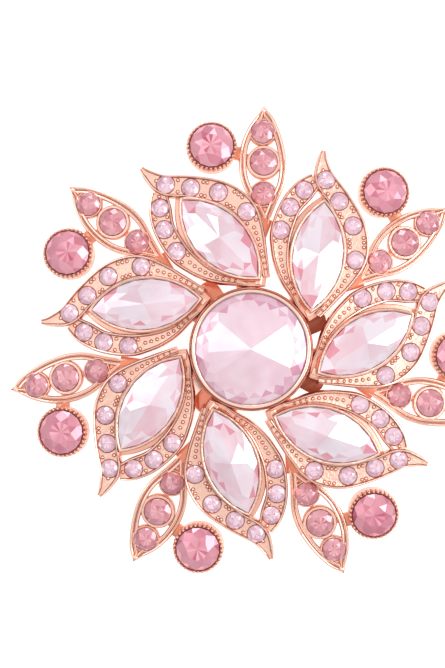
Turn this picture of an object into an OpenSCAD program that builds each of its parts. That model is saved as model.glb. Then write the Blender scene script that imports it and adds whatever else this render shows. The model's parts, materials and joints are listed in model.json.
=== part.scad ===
// Flower cocktail ring: an open adjustable band under a seven-petalled flower.
// The finger hole lies on the Y axis, with its centre at the origin. The flower faces +Z.
// One leaf lies over the +X shoulder of the band. Millimetres.

/* [Band] */
// Radius of the finger hole
finger_r = 8.75; // [7:0.25:11]
// Thickness of the band
band_t = 1.25; // [1:0.05:1.8]
// Width of the band under the flower
band_w = 4.4; // [3.4:0.1:5.6]
// Width of the band at its open ends
band_end_w = 3; // [2:0.1:4]
// Angle from the top of the band to each shoulder, where the arm flexes
shoulder_angle = 42; // [36:1:50]
// Angle from the top of the band to each open end
end_angle = 165; // [150:1:168]

/* [Flower] */
// Reach of a leaf tip beyond the centre cup
flower_reach = 19.35; // [16:0.05:24]
// Downward slope of the petals and leaves, in degrees
droop = 9; // [4:1:12]
// Thickness of the base plate
plate_t = 0.9; // [0.7:0.05:1.4]
// Thickness of a leaf and its stem
leaf_t = 1.1; // [0.9:0.05:1.3]

/* [Centre stone] */
// Radius of the centre stone at its girdle
centre_r = 6; // [5:0.1:7.5]
// Wall of the centre cup
centre_wall = 0.55; // [0.4:0.05:0.8]
// Height of the centre cup
centre_cup_h = 3.5; // [3.1:0.1:4.5]

/* [Petals] */
// Half the length of a marquise stone
marquise_a = 5.8; // [5:0.1:6.2]
// Half the width of a marquise stone
marquise_b = 2.7; // [2.3:0.05:3]
// Wall of a marquise cup
marquise_wall = 0.35; // [0.25:0.05:0.5]
// Height of a marquise cup
marquise_cup_h = 2; // [1.8:0.1:2.6]
// Radius of a small stone on a petal
pave_r = 0.95; // [0.8:0.01:1.15]
// Height of the short arm's floor
short_floor = 0.95; // [0.9:0.05:1.2]
// Height of the long arm's floor
long_floor = 1.3; // [1.25:0.05:1.6]
// Width of the raised rim along an arm
rim_w = 0.28; // [0.2:0.02:0.4]
// Height of the raised rim above the floor
rim_h = 0.3; // [0.2:0.05:0.4]

/* [Leaves] */
// Radius of the two small stones on a leaf
leaf_small_r = 1.25; // [0.95:0.05:1.4]
// Radius of the middle stone on a leaf
leaf_middle_r = 1.45; // [1.2:0.05:1.65]
// Width of a leaf's outline
leaf_bar_w = 0.7; // [0.5:0.02:0.8]
// Wall of the collars round a leaf's stones
collar_w = 0.32; // [0.2:0.02:0.4]
// Radius of a large round stone between two leaves
crown_r = 2.35; // [2:0.05:2.6]
// Wall of a large round stone's cup
crown_wall = 0.42; // [0.3:0.02:0.5]
// Height of a large round stone's cup
crown_cup_h = 2.3; // [2:0.1:2.8]

/* [Hidden] */
petals = 7;
pitch = 360 / petals;
seat_gap = 0.04;      // between a stone and the wall of its seat
solder_gap = 0.03;    // between two castings that are soldered together
flex_gap = 0.05;      // round the flexing root of each band arm
round_inset = 0.03;   // the rounded ends are this much thinner than the band on each side
cup_floor = 0.4;      // floor of a round cup
marquise_floor = 0.45;
plate_inset = 0.35;   // the base plate's edge lies this far inside the centre cup's wall
centre_drop = 0.55;   // the centre stone's girdle below its cup's lip
girdle_drop = 0.35;   // the girdle of a marquise or a large round stone below its cup's lip
seat_depth = 0.75;    // depth of a small stone's seat
stem_lap = 0.1;       // the flat inner part of a leaf's stem runs this far into its drooping part
petal_drop = 0.05;    // the girdle of a petal's small stone below its floor
leaf_drop = 0.12;     // the girdle of a leaf's stone below the leaf's face
cut_h = 4;            // taller than any casting that a seat is cut in
round_fn = 64;
seat_fn = 32;

// Heights, measured from the middle of the finger hole
band_r = finger_r + band_t;
mid_r = finger_r + band_t / 2;
round_r = band_t / 2 - round_inset;
saddle_top = band_r + 0.3;
plate_top = saddle_top + plate_t;
cup_base = plate_top + leaf_t;
petal_base = cup_base + solder_gap;
collar_t = leaf_t - 0.1;

// The outlines are drawn for a cup of design_cup_r and a reach of design_reach, and follow both as they
// change. The reach is a little longer than it is drawn, because the droop shortens it in plan
design_cup_r = 6.55;
design_reach = 19.15;
design_pave_r = 0.95;               // the arms' widths are drawn for stones of this radius
end_fade = 0.6;                     // an arm this much narrower than a stone's radius doesn't follow it
arm_tip = 0.02;                     // an arm is never narrower than this to each side
centre_cup_r = centre_r + centre_wall;
droop_r = centre_cup_r + 0.45;      // the petals and leaves are flat out to here
function radial(r) = centre_cup_r + (r - design_cup_r) * flower_reach / design_reach;
function place(p) = let (r = norm([p.x, p.y])) [p.x, p.y] * radial(r) / r;

// Petal frame: Y runs outwards along the petal. Each entry is [x, y, half-width beyond a stone's radius]
long_arm = [[-3.8, 22.05, -0.7], [-3.45, 21.2, -0.38], [-2.2, 19.5, 0.16], [0.22, 18.3, 0.28],
            [2.87, 16.6, 0.38], [4.3, 14.9, 0.36], [4.9, 13.3, 0.24], [5, 11, -0.08],
            [4.82, 9, -0.38], [4.6, 7.5, -0.55], [4.35, 6.4, -0.6]];
short_arm = [[-3, 19, -0.1], [-3.5, 17.45, 0.25], [-3.9, 15.15, 0.22], [-3.45, 12.4, 0.2],
             [-2.6, 10.65, 0.03], [-1.65, 9.3, -0.15], [-0.4, 8.1, -0.35], [0.9, 7.3, -0.5],
             [2.15, 6.42, -0.6]];
long_arm_stones = [[-2.05, 19.45], [0.3, 18.15], [2.87, 16.6], [4.9, 13.55]];
short_arm_stones = [[-3.5, 17.4], [-3.9, 15.05], [-3.55, 12.4]];
marquise_at = [1.2, 11.85];
marquise_turn = 22.7;

// Leaf frame: Y runs outwards along the leaf
leaf_left = [[-0.5, 26], [-1.85, 24], [-2.5, 22.4], [-2.76, 20.9], [-2.76, 19.6], [-2.5, 18.1],
             [-1.9, 16.7], [-0.8, 14.9], [0.2, 13.2]];
leaf_right = [[-0.5, 26], [0.6, 24.9], [1.45, 23.3], [2.05, 21.6], [2.4, 19.9], [2.42, 18.5],
              [2.2, 17.2], [1.5, 15.2], [0.9, 13.2]];
leaf_stones = [[-0.45, 23.2, leaf_small_r], [-0.1, 19.95, leaf_middle_r], [0.1, 16.5, leaf_small_r]];
// The necks that join the collars: two ends and a half-width
collar_necks = [[[-0.5, 24.9], [0.2, 14.2], 0.3], [[-2.4, 20.6], [2.1, 20.2], 0.35],
                [[-1.9, 23.1], [1.2, 22.7], 0.3], [[-1.6, 17.1], [1.9, 17.3], 0.3]];
leaf_side = 4;                      // a leaf and its stem lie inside this half-width
leaf_foot = 13;
leaf_tip = 26;
crown_at = [-5.75, 21.05];
crown_tab = [[-2.6, 20.7], [-3.6, 20.8]];
crown_tab_r = 0.75;
stem_start = [0.45, 13.9];
stem_bend = [-1.3, 8.2];
stem_end = [-0.6, 3.8];
stem_r = 0.9;
lug_r = 1.25;
gap_at = [1.36, 7.3];
plug_sectors = [0, 2, 4, 6];

rose_gold = [0.93, 0.64, 0.53];
blush = [0.97, 0.84, 0.9];
rose = [0.93, 0.55, 0.66];

// ---- curves ----

// A Catmull-Rom curve through points, with steps points for each stretch
function spline_point(p, i, t) = let (
    a = p[max(i - 1, 0)], b = p[i], c = p[i + 1], d = p[min(i + 2, len(p) - 1)])
    0.5 * (2 * b + (c - a) * t + (2 * a - 5 * b + 4 * c - d) * t * t + (3 * b - a - 3 * c + d) * t * t * t);
function spline(p, steps) = concat(
    [for (i = [0:len(p) - 2]) for (s = [0:steps - 1]) spline_point(p, i, s / steps)],
    [p[len(p) - 1]]);
// Unit vector across the curve at point i
function across(c, i) = let (
    d = c[min(i + 1, len(c) - 1)] - c[max(i - 1, 0)], n = norm([d.x, d.y])) [-d.y, d.x] / n;
function flip(list) = [for (i = [len(list) - 1:-1:0]) list[i]];
// Half an arm's width. It follows the stones' size where the arm carries stones, and less so where it
// is narrower
function half_width(w) = design_pave_r + w + (pave_r - design_pave_r) * min(1, max(0, 1 + w / end_fade));
// Both edges of an arm as one outline, inset from the full width
function arm_edge(c, side, inset) = [for (i = [0:len(c) - 1])
    place([c[i].x, c[i].y] + side * across(c, i) * max(half_width(c[i].z) - inset, arm_tip))];
function arm_outline(arm, inset) = let (c = spline(arm, 4))
    concat(arm_edge(c, 1, inset), flip(arm_edge(c, -1, inset)));

// ---- flat shapes ----

module arm_2d(arm, inset = 0) polygon(arm_outline(arm, inset));

// A pointed oval of half-length a and half-width b, grown by margin all round
module marquise_2d(margin = 0) {
    arc_r = (marquise_a * marquise_a + marquise_b * marquise_b) / (2 * marquise_b);
    r = arc_r + margin;
    shift = arc_r - marquise_b;
    intersection() {
        translate([shift, 0]) circle(r, $fn = 180);
        translate([-shift, 0]) circle(r, $fn = 180);
    }
}

module at_marquise() {
    translate(place(marquise_at)) rotate(marquise_turn) children();
}

// A round-ended bar between two points
module bar_2d(a, b, r) {
    d = b - a;
    for (p = [a, b]) translate(p) circle(r, $fn = seat_fn);
    translate(a) rotate(atan2(d.y, d.x)) translate([0, -r]) square([norm(d), 2 * r]);
}

// A leaf's outline, moved inwards by inset
module leaf_2d(inset = 0) {
    l = spline(leaf_left, 4);
    r = spline(leaf_right, 4);
    intersection() {
        polygon(concat([for (i = [0:len(l) - 1]) place(l[i] + across(l, i) * inset)],
                       [place([leaf_side, leaf_foot]), place([leaf_side, leaf_tip])]));
        polygon(concat([for (i = [0:len(r) - 1]) place(r[i] - across(r, i) * inset)],
                       [place([-leaf_side, leaf_foot]), place([-leaf_side, leaf_tip])]));
    }
}

// The flat stem of a leaf, from under its inner tip to under the centre cup
module stem_2d() {
    bar_2d(place(stem_start), place(stem_bend), stem_r);
    bar_2d(place(stem_bend), place(stem_end), stem_r);
}

// ---- placing ----

// The petal frame of petal k, counted from 1, with Z at the back of the casting
module on_petal(k) {
    rotate(180 / petals + (k - 1) * pitch - 90)
        translate([0, droop_r, petal_base]) rotate([-droop, 0, 0]) translate([0, -droop_r, 0]) children();
}
// The leaf frame of leaf k, counted from 1, drooping and then flat
module on_leaf(k) {
    rotate((k - 1) * pitch - 90)
        translate([0, droop_r, plate_top]) rotate([-droop, 0, 0]) translate([0, -droop_r, 0]) children();
}
// The same frame without its droop, as it is under the cup
module on_leaf_flat(k) {
    rotate((k - 1) * pitch - 90) translate([0, 0, plate_top]) children();
}

// ---- stones ----

// A round stone, table up, with its girdle's lower edge at z = 0
module round_stone(r, crown, pavilion, table) {
    girdle = 0.1 * r;
    rotate_extrude($fn = round_fn)
        polygon([[0, -pavilion], [0.25 * r, -pavilion], [r, 0], [r, girdle], [table, girdle + crown],
                 [0, girdle + crown]]);
}

// A pointed round stone: a flat cone above and below its girdle
module pointed_stone(r, crown, pavilion) {
    rotate_extrude($fn = round_fn)
        polygon([[0, -pavilion], [0.3, -pavilion], [r, 0], [r, 0.25], [0.25, 0.25 + crown],
                 [0, 0.25 + crown]]);
}

// Outline of the marquise stone as points, scaled about its middle
marquise_n = 16;
function marquise_ring(scale, z) = let (
    arc_r = (marquise_a * marquise_a + marquise_b * marquise_b) / (2 * marquise_b),
    half = asin(marquise_a / arc_r), n = marquise_n / 2) concat(
    [for (i = [0:n - 1]) let (a = half * (1 - 2 * i / n))
        [scale * (arc_r * cos(a) - arc_r + marquise_b), scale * arc_r * sin(a), z]],
    [for (i = [0:n - 1]) let (a = half * (1 - 2 * i / n))
        [-scale * (arc_r * cos(a) - arc_r + marquise_b), -scale * arc_r * sin(a), z]]);

module marquise_stone(crown, pavilion) {
    n = marquise_n;
    rings = [marquise_ring(0.2, -pavilion), marquise_ring(1, 0), marquise_ring(1, 0.2),
             marquise_ring(0.62, 0.2 + 0.7 * crown), marquise_ring(0.12, 0.2 + crown)];
    points = [for (ring = rings) for (p = ring) p];
    faces = concat(
        [[for (i = [0:n - 1]) i]],
        [for (j = [0:len(rings) - 2]) for (i = [0:n - 1])
            [j * n + (i + 1) % n, j * n + i, (j + 1) * n + i]],
        [for (j = [0:len(rings) - 2]) for (i = [0:n - 1])
            [j * n + (i + 1) % n, (j + 1) * n + i, (j + 1) * n + (i + 1) % n]],
        [[for (i = [n - 1:-1:0]) (len(rings) - 1) * n + i]]);
    polyhedron(points, faces);
}

// ---- band ----

// Ring sector in the XZ plane between two angles from +Z towards +X, as a solid of full width
module band_arc(from, to) {
    far = 3 * band_r;
    n = 6;
    rotate([90, 0, 0]) linear_extrude(band_w, center = true)
        intersection() {
            difference() {
                circle(band_r, $fn = 128);
                circle(finger_r, $fn = 128);
            }
            polygon(concat([[0, 0]], [for (i = [0:n]) let (a = from + (to - from) * i / n)
                far * [sin(a), cos(a)]]));
        }
}

// The band narrows from the flower to its open ends
module band_taper() {
    top = band_r + 1;
    rotate([90, 0, 90]) linear_extrude(4 * band_r, center = true)
        polygon([[-band_w / 2, top], [-band_w / 2, 0.5 * band_r], [-band_end_w / 2, -top],
                 [band_end_w / 2, -top], [band_w / 2, 0.5 * band_r], [band_w / 2, top]]);
}

module at_shoulder(side) {
    translate([side * mid_r * sin(shoulder_angle), 0, mid_r * cos(shoulder_angle)])
        rotate([90, 0, 0]) children();
}

module shank_saddle() color(rose_gold) difference() {
    union() {
        band_arc(-shoulder_angle, shoulder_angle);
        translate([-0.5 * band_r, -band_w / 2, 0.87 * band_r])
            cube([band_r, band_w, saddle_top - 0.87 * band_r]);
    }
    rotate([90, 0, 0]) cylinder(h = 2 * band_w, r = finger_r, center = true, $fn = 128);
    for (side = [-1, 1]) at_shoulder(side)
        cylinder(h = 2 * band_w, r = band_t / 2 + flex_gap, center = true, $fn = seat_fn);
}

module shank_arm(side) color(rose_gold) intersection() {
    union() {
        if (side > 0) band_arc(shoulder_angle, end_angle);
        else band_arc(-end_angle, -shoulder_angle);
        at_shoulder(side) cylinder(h = band_w, r = round_r, center = true, $fn = seat_fn);
        rotate([0, side * end_angle, 0]) translate([0, 0, mid_r]) rotate([90, 0, 0])
            cylinder(h = band_w, r = round_r, center = true, $fn = seat_fn);
    }
    band_taper();
}

// ---- flower ----

// The plate on the saddle. Its lugs close every second gap round the cup
module base_plate() color(rose_gold) translate([0, 0, saddle_top]) linear_extrude(plate_t) {
    circle(centre_cup_r - plate_inset, $fn = round_fn);
    for (k = plug_sectors) rotate(k * pitch - 90) bar_2d([0, 0], place(gap_at), lug_r);
}

module centre_cup() color(rose_gold) translate([0, 0, cup_base]) difference() {
    cylinder(h = centre_cup_h, r = centre_cup_r, $fn = round_fn);
    translate([0, 0, cup_floor]) cylinder(h = centre_cup_h, r = centre_r + seat_gap, $fn = round_fn);
}

module centre_stone() color(blush) translate([0, 0, cup_base + centre_cup_h - centre_drop])
    pointed_stone(centre_r, crown = 1.9, pavilion = 2.4);

// A seat is cut down into a floor at height z for a small stone of radius r
module seat_cut(at, z, r) translate(concat(place(at), [z - seat_depth]))
    cylinder(h = cut_h, r = r + seat_gap, $fn = seat_fn);

module petal_casting(k) color(rose_gold) difference() {
    on_petal(k) difference() {
        union() {
            linear_extrude(short_floor) arm_2d(short_arm);
            linear_extrude(short_floor + rim_h) difference() {
                arm_2d(short_arm);
                arm_2d(short_arm, rim_w);
            }
            linear_extrude(long_floor) arm_2d(long_arm);
            linear_extrude(long_floor + rim_h) difference() {
                arm_2d(long_arm);
                arm_2d(long_arm, rim_w);
            }
            at_marquise() linear_extrude(marquise_cup_h) marquise_2d(marquise_wall);
        }
        at_marquise() translate([0, 0, marquise_floor])
            linear_extrude(marquise_cup_h) marquise_2d(seat_gap);
        for (p = long_arm_stones) seat_cut(p, long_floor, pave_r);
        for (p = short_arm_stones) seat_cut(p, short_floor, pave_r);
    }
    cylinder(h = 3 * band_r, r = centre_cup_r + solder_gap, $fn = round_fn);
}

module marquise(k) color(blush) on_petal(k) at_marquise() translate([0, 0, marquise_cup_h - girdle_drop])
    marquise_stone(crown = 0.95, pavilion = 1.1);

// A small round stone with its girdle at height z
module chaton(at, z, r, crown) translate(concat(place(at), [z]))
    round_stone(r, crown, pavilion = 0.6, table = 0.55 * r);

module petal_chatons(k) color(blush) on_petal(k) {
    for (p = long_arm_stones) chaton(p, long_floor - petal_drop, pave_r, crown = 0.3);
    for (p = short_arm_stones) chaton(p, short_floor - petal_drop, pave_r, crown = 0.3);
}

// Collars round a leaf's stones, and the necks that join them
module leaf_collars_2d() {
    for (s = leaf_stones) translate(place(s)) circle(s.z + collar_w, $fn = seat_fn);
    for (n = collar_necks) bar_2d(place(n[0]), place(n[1]), n[2]);
}

module leaf_casting(k) color(rose_gold) union() {
    on_leaf(k) difference() {
        union() {
            linear_extrude(leaf_t) difference() {
                leaf_2d();
                leaf_2d(leaf_bar_w);
            }
            linear_extrude(collar_t) intersection() {
                leaf_collars_2d();
                leaf_2d(leaf_t - collar_t);
            }
            linear_extrude(collar_t) intersection() {
                stem_2d();
                translate([-leaf_side, droop_r]) square([2 * leaf_side, radial(leaf_tip)]);
            }
            // The tab that carries the large round stone's cup
            linear_extrude(collar_t) bar_2d(place(crown_tab[0]), place(crown_tab[1]), crown_tab_r);
        }
        for (s = leaf_stones) seat_cut(s, leaf_t, s.z);
        translate(place(crown_at))
            cylinder(h = 2 * cut_h, r = crown_r + crown_wall + solder_gap, center = true, $fn = round_fn);
    }
    on_leaf_flat(k) linear_extrude(leaf_t) intersection() {
        stem_2d();
        translate([-leaf_side, 0]) square([2 * leaf_side, droop_r + stem_lap]);
    }
}

module leaf_chatons(k) color(rose) on_leaf(k)
    for (s = leaf_stones) chaton(s, leaf_t - leaf_drop, s.z, crown = 0.33);

module crown_cup(k) color(rose_gold) on_leaf(k) translate(place(crown_at)) difference() {
    cylinder(h = crown_cup_h, r = crown_r + crown_wall, $fn = round_fn);
    translate([0, 0, cup_floor]) cylinder(h = crown_cup_h, r = crown_r + seat_gap, $fn = round_fn);
}

module crown_stone(k) color(rose) on_leaf(k) translate(concat(place(crown_at), [crown_cup_h - girdle_drop]))
    round_stone(crown_r, crown = 0.75, pavilion = 1.4, table = 0.5 * crown_r);

shank_saddle();
shank_arm(-1);  // shank_arm_left
shank_arm(1);  // shank_arm_right
base_plate();
centre_cup();
centre_stone();
for (k = [1:petals]) {
    petal_casting(k);
    marquise(k);
    petal_chatons(k);
    leaf_casting(k);
    leaf_chatons(k);
    crown_cup(k);
    crown_stone(k);
}
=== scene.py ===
"""The looks of a flower cocktail ring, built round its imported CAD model.

Sizes are millimetres in the row frame until a mesh is made, and metres in Blender. The finger hole lies on Y,
the flower faces +Z, and seven petals and seven leaves stand round the centre stone.
"""

import json
import logging
import math
from dataclasses import dataclass, field
from enum import Enum
from typing import Callable, Sequence

import bmesh
import bpy
import numpy as np
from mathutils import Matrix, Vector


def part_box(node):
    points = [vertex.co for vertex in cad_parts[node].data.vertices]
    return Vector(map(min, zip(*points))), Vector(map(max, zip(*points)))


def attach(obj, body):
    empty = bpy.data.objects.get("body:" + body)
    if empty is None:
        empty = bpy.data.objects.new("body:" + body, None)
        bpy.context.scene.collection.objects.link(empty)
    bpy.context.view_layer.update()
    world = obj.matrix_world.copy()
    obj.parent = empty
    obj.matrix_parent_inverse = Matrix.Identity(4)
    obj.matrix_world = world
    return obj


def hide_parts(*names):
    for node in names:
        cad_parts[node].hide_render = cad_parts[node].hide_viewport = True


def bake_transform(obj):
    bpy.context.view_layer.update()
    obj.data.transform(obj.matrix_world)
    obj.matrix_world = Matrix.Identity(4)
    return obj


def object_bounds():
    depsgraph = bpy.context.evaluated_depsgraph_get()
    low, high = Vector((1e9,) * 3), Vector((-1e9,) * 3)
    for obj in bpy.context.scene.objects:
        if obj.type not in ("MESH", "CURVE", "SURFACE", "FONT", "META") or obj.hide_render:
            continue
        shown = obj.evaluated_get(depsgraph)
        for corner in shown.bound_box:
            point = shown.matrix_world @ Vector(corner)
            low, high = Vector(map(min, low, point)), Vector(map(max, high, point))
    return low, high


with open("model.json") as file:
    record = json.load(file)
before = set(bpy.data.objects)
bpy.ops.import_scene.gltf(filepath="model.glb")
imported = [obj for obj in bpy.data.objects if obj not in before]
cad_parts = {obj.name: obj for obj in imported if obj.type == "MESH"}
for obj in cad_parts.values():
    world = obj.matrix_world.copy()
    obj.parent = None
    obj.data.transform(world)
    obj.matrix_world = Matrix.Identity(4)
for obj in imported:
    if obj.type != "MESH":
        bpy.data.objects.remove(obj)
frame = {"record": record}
cad_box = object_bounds()

log = logging.getLogger("ring")
MM = 0.001
PETALS = 7
PITCH = 360.0 / PETALS
SEED = 7
VIEW_TURN = -34.286  # the flower's turn as it is worn, in degrees

# ---- sizes that the CAD model and these pieces share, in millimetres ----

DROOP = 9.0              # downward slope of the petals and leaves, in degrees
DROOP_START = 0.45       # how far outside the centre cup the slope begins
STRETCH = 19.35 / 19.15  # the outlines are drawn a little short and stretched to the flower's reach
ROOT_BEND = 0.6          # the length over which a leaf's flat root bends into its slope
SOLDER_GAP = 0.03        # between castings that are soldered together
PAVE_R = 0.95            # the radius of the small stones on a petal's arms
RIM_H = 0.3              # an arm's rims above its floor
LONG_FLOOR = 1.3         # the long arm's floor above the petal's back
SHORT_FLOOR = 0.95       # the short arm's floor above the petal's back
MARQUISE_A = 5.8         # half the marquise's length
MARQUISE_B = 2.7         # half the marquise's width
MARQUISE_WALL = 0.35
MARQUISE_CUP_H = 2.0
MARQUISE_AT = (1.2, 11.85)
MARQUISE_TURN = 22.7     # in degrees
LEAF_T = 1.1             # a leaf's thickness
CROWN_AT = (-5.75, 21.05)
CROWN_R = 2.35           # the radius of the large round stone
CROWN_CUP_H = 2.3
BAND_END_W = 3.0
BAND_END_ANGLE = 165.0   # from the saddle's middle to each open end, in degrees

# Petal frame, Y outwards along the petal: x, y and the half-width beyond a small stone's radius
LONG_ARM_LINE = (
    (-3.8, 22.05, -0.7), (-3.45, 21.2, -0.38), (-2.2, 19.5, 0.16), (0.22, 18.3, 0.28), (2.87, 16.6, 0.38),
    (4.3, 14.9, 0.36), (4.9, 13.3, 0.24), (5.0, 11.0, -0.08), (4.82, 9.0, -0.38), (4.6, 7.5, -0.55),
    (4.35, 6.4, -0.6))
SHORT_ARM_LINE = (
    (-3.0, 19.0, -0.1), (-3.5, 17.45, 0.25), (-3.9, 15.15, 0.22), (-3.45, 12.4, 0.2), (-2.6, 10.65, 0.03),
    (-1.65, 9.3, -0.15), (-0.4, 8.1, -0.35), (0.9, 7.3, -0.5), (2.15, 6.42, -0.6))
LONG_ARM_STONES = ((-2.05, 19.45), (0.3, 18.15), (2.87, 16.6), (4.9, 13.55))
SHORT_ARM_STONES = ((-3.5, 17.4), (-3.9, 15.05), (-3.55, 12.4))

# Leaf frame, Y outwards along the leaf
LEAF_LEFT = (
    (-0.5, 26.0), (-1.85, 24.0), (-2.5, 22.4), (-2.76, 20.9), (-2.76, 19.6), (-2.5, 18.1), (-1.9, 16.7),
    (-0.8, 14.9), (0.2, 13.2))
LEAF_RIGHT = (
    (-0.5, 26.0), (0.6, 24.9), (1.45, 23.3), (2.05, 21.6), (2.4, 19.9), (2.42, 18.5), (2.2, 17.2),
    (1.5, 15.2), (0.9, 13.2))
LEAF_STONES = ((-0.45, 23.2, 1.25), (-0.1, 19.95, 1.45), (0.1, 16.5, 1.25))
STEM_LINE = ((0.45, 13.9), (-0.3, 11.4), (-1.3, 8.2), (-1.05, 6.0), (-0.6, 3.8))
LUG_AT = (1.36, 7.3)
LUG_SECTORS = (0, 2, 4, 6)
LUG_HALF = 1.24          # half a lug's width, and the radius of its end
CROWN_TAB = ((-2.5, 20.7), (-3.4, 20.8))

# Petal frame: the tab that joins the marquise's cup to the centre cup
TAB_LINE = ((4.3, 7.8), (3.9, 7.1), (3.45, 6.35), (3.2, 5.95))

# Necks and struts of a leaf, each from one point to another with half its width
LEAF_TIES = (
    ((-0.5, 24.9), (-0.3, 21.4), 0.26), ((-0.05, 18.6), (0.2, 14.2), 0.3),
    ((-2.35, 20.6), (-1.5, 20.35), 0.3), ((1.3, 20.3), (2.1, 20.2), 0.3),
    ((-1.9, 23.0), (-1.3, 23.05), 0.22), ((0.5, 22.9), (1.2, 22.7), 0.22),
    ((-1.7, 17.2), (-1.0, 16.9), 0.24), ((1.1, 16.9), (1.9, 17.3), 0.24))


# ---- arrays ----


def catmull_rom(points: Sequence[Sequence[float]], steps: int) -> np.ndarray:
    """A smooth curve through every point.

    Each stretch is a cubic whose slope at a point is half the step between that point's two neighbours.

    Args:
        points: The points the curve passes through, with any number of coordinates.
        steps: How many parts each stretch is cut into.

    Returns:
        The curve's points, one row each, the given end points among them.
    """
    p = np.asarray(points, float)
    padded = np.vstack([p[:1], p, p[-1:]])
    a, b, c, d = padded[:-3], padded[1:-2], padded[2:-1], padded[3:]
    t = (np.arange(steps) / steps)[None, :, None]
    a, b, c, d = (q[:, None, :] for q in (a, b, c, d))
    curve = 0.5 * (2 * b + (c - a) * t + (2 * a - 5 * b + 4 * c - d) * t ** 2 + (3 * b - a - 3 * c + d) * t ** 3)
    return np.vstack([curve.reshape(-1, p.shape[1]), p[-1:]])


def across(line: np.ndarray) -> np.ndarray:
    """Unit vectors to the left of a flat line, from the step between each point's neighbours.

    Args:
        line: The line's points, x and y.

    Returns:
        One unit vector for each point.
    """
    step = np.empty_like(line)
    step[1:-1] = line[2:] - line[:-2]
    step[0], step[-1] = line[1] - line[0], line[-1] - line[-2]
    step /= np.linalg.norm(step, axis=1, keepdims=True)
    return np.stack([-step[:, 1], step[:, 0]], axis=1)


def along(line: np.ndarray) -> np.ndarray:
    """The distance along a line to each of its points, starting from zero."""
    return np.concatenate([[0.0], np.cumsum(np.linalg.norm(np.diff(line, axis=0), axis=1))])


def ring_xy(count: int, radius: float = 1.0, start: float = 0.0) -> np.ndarray:
    """Points evenly round a circle: the cosine and sine of equal steps.

    Args:
        count: How many points.
        radius: The circle's radius.
        start: The first point's angle in steps of the ring, so that 0.5 lies between two points.

    Returns:
        The points' x and y, one row each.
    """
    a = (np.arange(count) + start) * 2 * np.pi / count
    return radius * np.stack([np.cos(a), np.sin(a)], axis=1)


def raised(flat: np.ndarray, height: float) -> np.ndarray:
    """Flat points, x and y, taken to one height."""
    return np.column_stack([flat, np.full(len(flat), height)])


def carried(line: np.ndarray, offset: np.ndarray, height: np.ndarray) -> np.ndarray:
    """A section carried along a flat line: the line plus its left-hand direction times the offset.

    Args:
        line: The line's points, x and y.
        offset: How far to the left each point of the section is, one row for each point of the line.
        height: The heights of the section's points.

    Returns:
        Points as rows by columns by 3.
    """
    xy = line[:, None, :] + across(line)[:, None, :] * offset[..., None]
    return np.concatenate([xy, np.broadcast_to(height[None, :, None], xy.shape[:2] + (1,))], axis=-1)


def spun(radius: np.ndarray, height: np.ndarray, columns: int) -> np.ndarray:
    """A profile carried round an upright axis: its radius times the cosine and sine, at its height.

    Args:
        radius: The radii of the profile's points.
        height: Their heights.
        columns: How many steps go round.

    Returns:
        Points as rows by columns by 3.
    """
    xy = radius[:, None, None] * ring_xy(columns)[None]
    return np.concatenate([xy, np.broadcast_to(height[:, None, None], xy.shape[:2] + (1,))], axis=-1)


class Part(Enum):
    """The finishes that a piece's faces can take. The side, wall and darkest metals, and the back's darker tone, are
    the rose-gold plate painted darker as shade.
    """

    POLISHED = "polished_rose_gold"
    FLOOR = "grained_floor_gold"
    SIDE = "shaded_side_gold"
    WALL = "shaded_wall_gold"
    BACK = "shaded_cast_back_gold"
    BAND = "band_rose_gold"
    PAINTED_SHADE = "painted_shade_groove"
    RIVOLI = "blush_rivoli_crystal"
    MARQUISE = "blush_marquise_crystal"
    LILAC = "lilac_chaton_crystal"
    ROSE = "rose_crown_crystal"
    DUSTY = "dusty_rose_crystal"


# ---- measures ----


@dataclass(frozen=True)
class RingSizes:
    """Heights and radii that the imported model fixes, in millimetres."""

    finger_r: float
    band_r: float
    band_w: float
    saddle_top: float
    plate_top: float
    cup_base: float
    cup_top: float
    cup_r: float
    centre_r: float
    crown_cup_r: float
    shoulder: float

    @classmethod
    def from_frame(cls) -> "RingSizes":
        """Reads the sizes from the boxes of the CAD nodes and from the joints.

        Returns:
            The sizes in millimetres, with the shoulder as an angle from +Z in degrees.
        """
        def box(node: str) -> np.ndarray:
            """A CAD node's lowest and highest corners, in millimetres."""
            return np.array([list(corner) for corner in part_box(node)]) / MM

        plate, cup = box("base_plate"), box("centre_cup")
        hinge = np.array(frame["record"]["behaviour"]["joints"][1]["pos_m"])
        crown = box("crown_cup_1")
        return cls(
            finger_r=frame["record"]["mounts"][0]["dims"]["r_mm"],
            band_r=box("shank_arm_right")[1, 0],
            band_w=2 * box("shank_saddle")[1, 1],
            saddle_top=plate[0, 2],
            plate_top=plate[1, 2],
            cup_base=cup[0, 2],
            cup_top=cup[1, 2],
            cup_r=cup[1, 0],
            centre_r=box("centre_stone")[1, 0],
            crown_cup_r=0.5 * (crown[1, 1] - crown[0, 1]),
            shoulder=math.degrees(math.atan2(abs(hinge[0]), hinge[2])),
        )


SIZES = RingSizes.from_frame()


def place(points: np.ndarray) -> np.ndarray:
    """Moves drawn points to the flower's real reach.

    A point keeps its direction, and its distance beyond the centre cup is multiplied by one factor.

    Args:
        points: Points with x and y as the first two of the last axis.

    Returns:
        The moved points, the other coordinates unchanged.
    """
    out = np.array(points, float)
    r = np.linalg.norm(out[..., :2], axis=-1, keepdims=True)
    out[..., :2] *= (SIZES.cup_r + (r - SIZES.cup_r) * STRETCH) / np.maximum(r, 1e-9)
    return out


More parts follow.
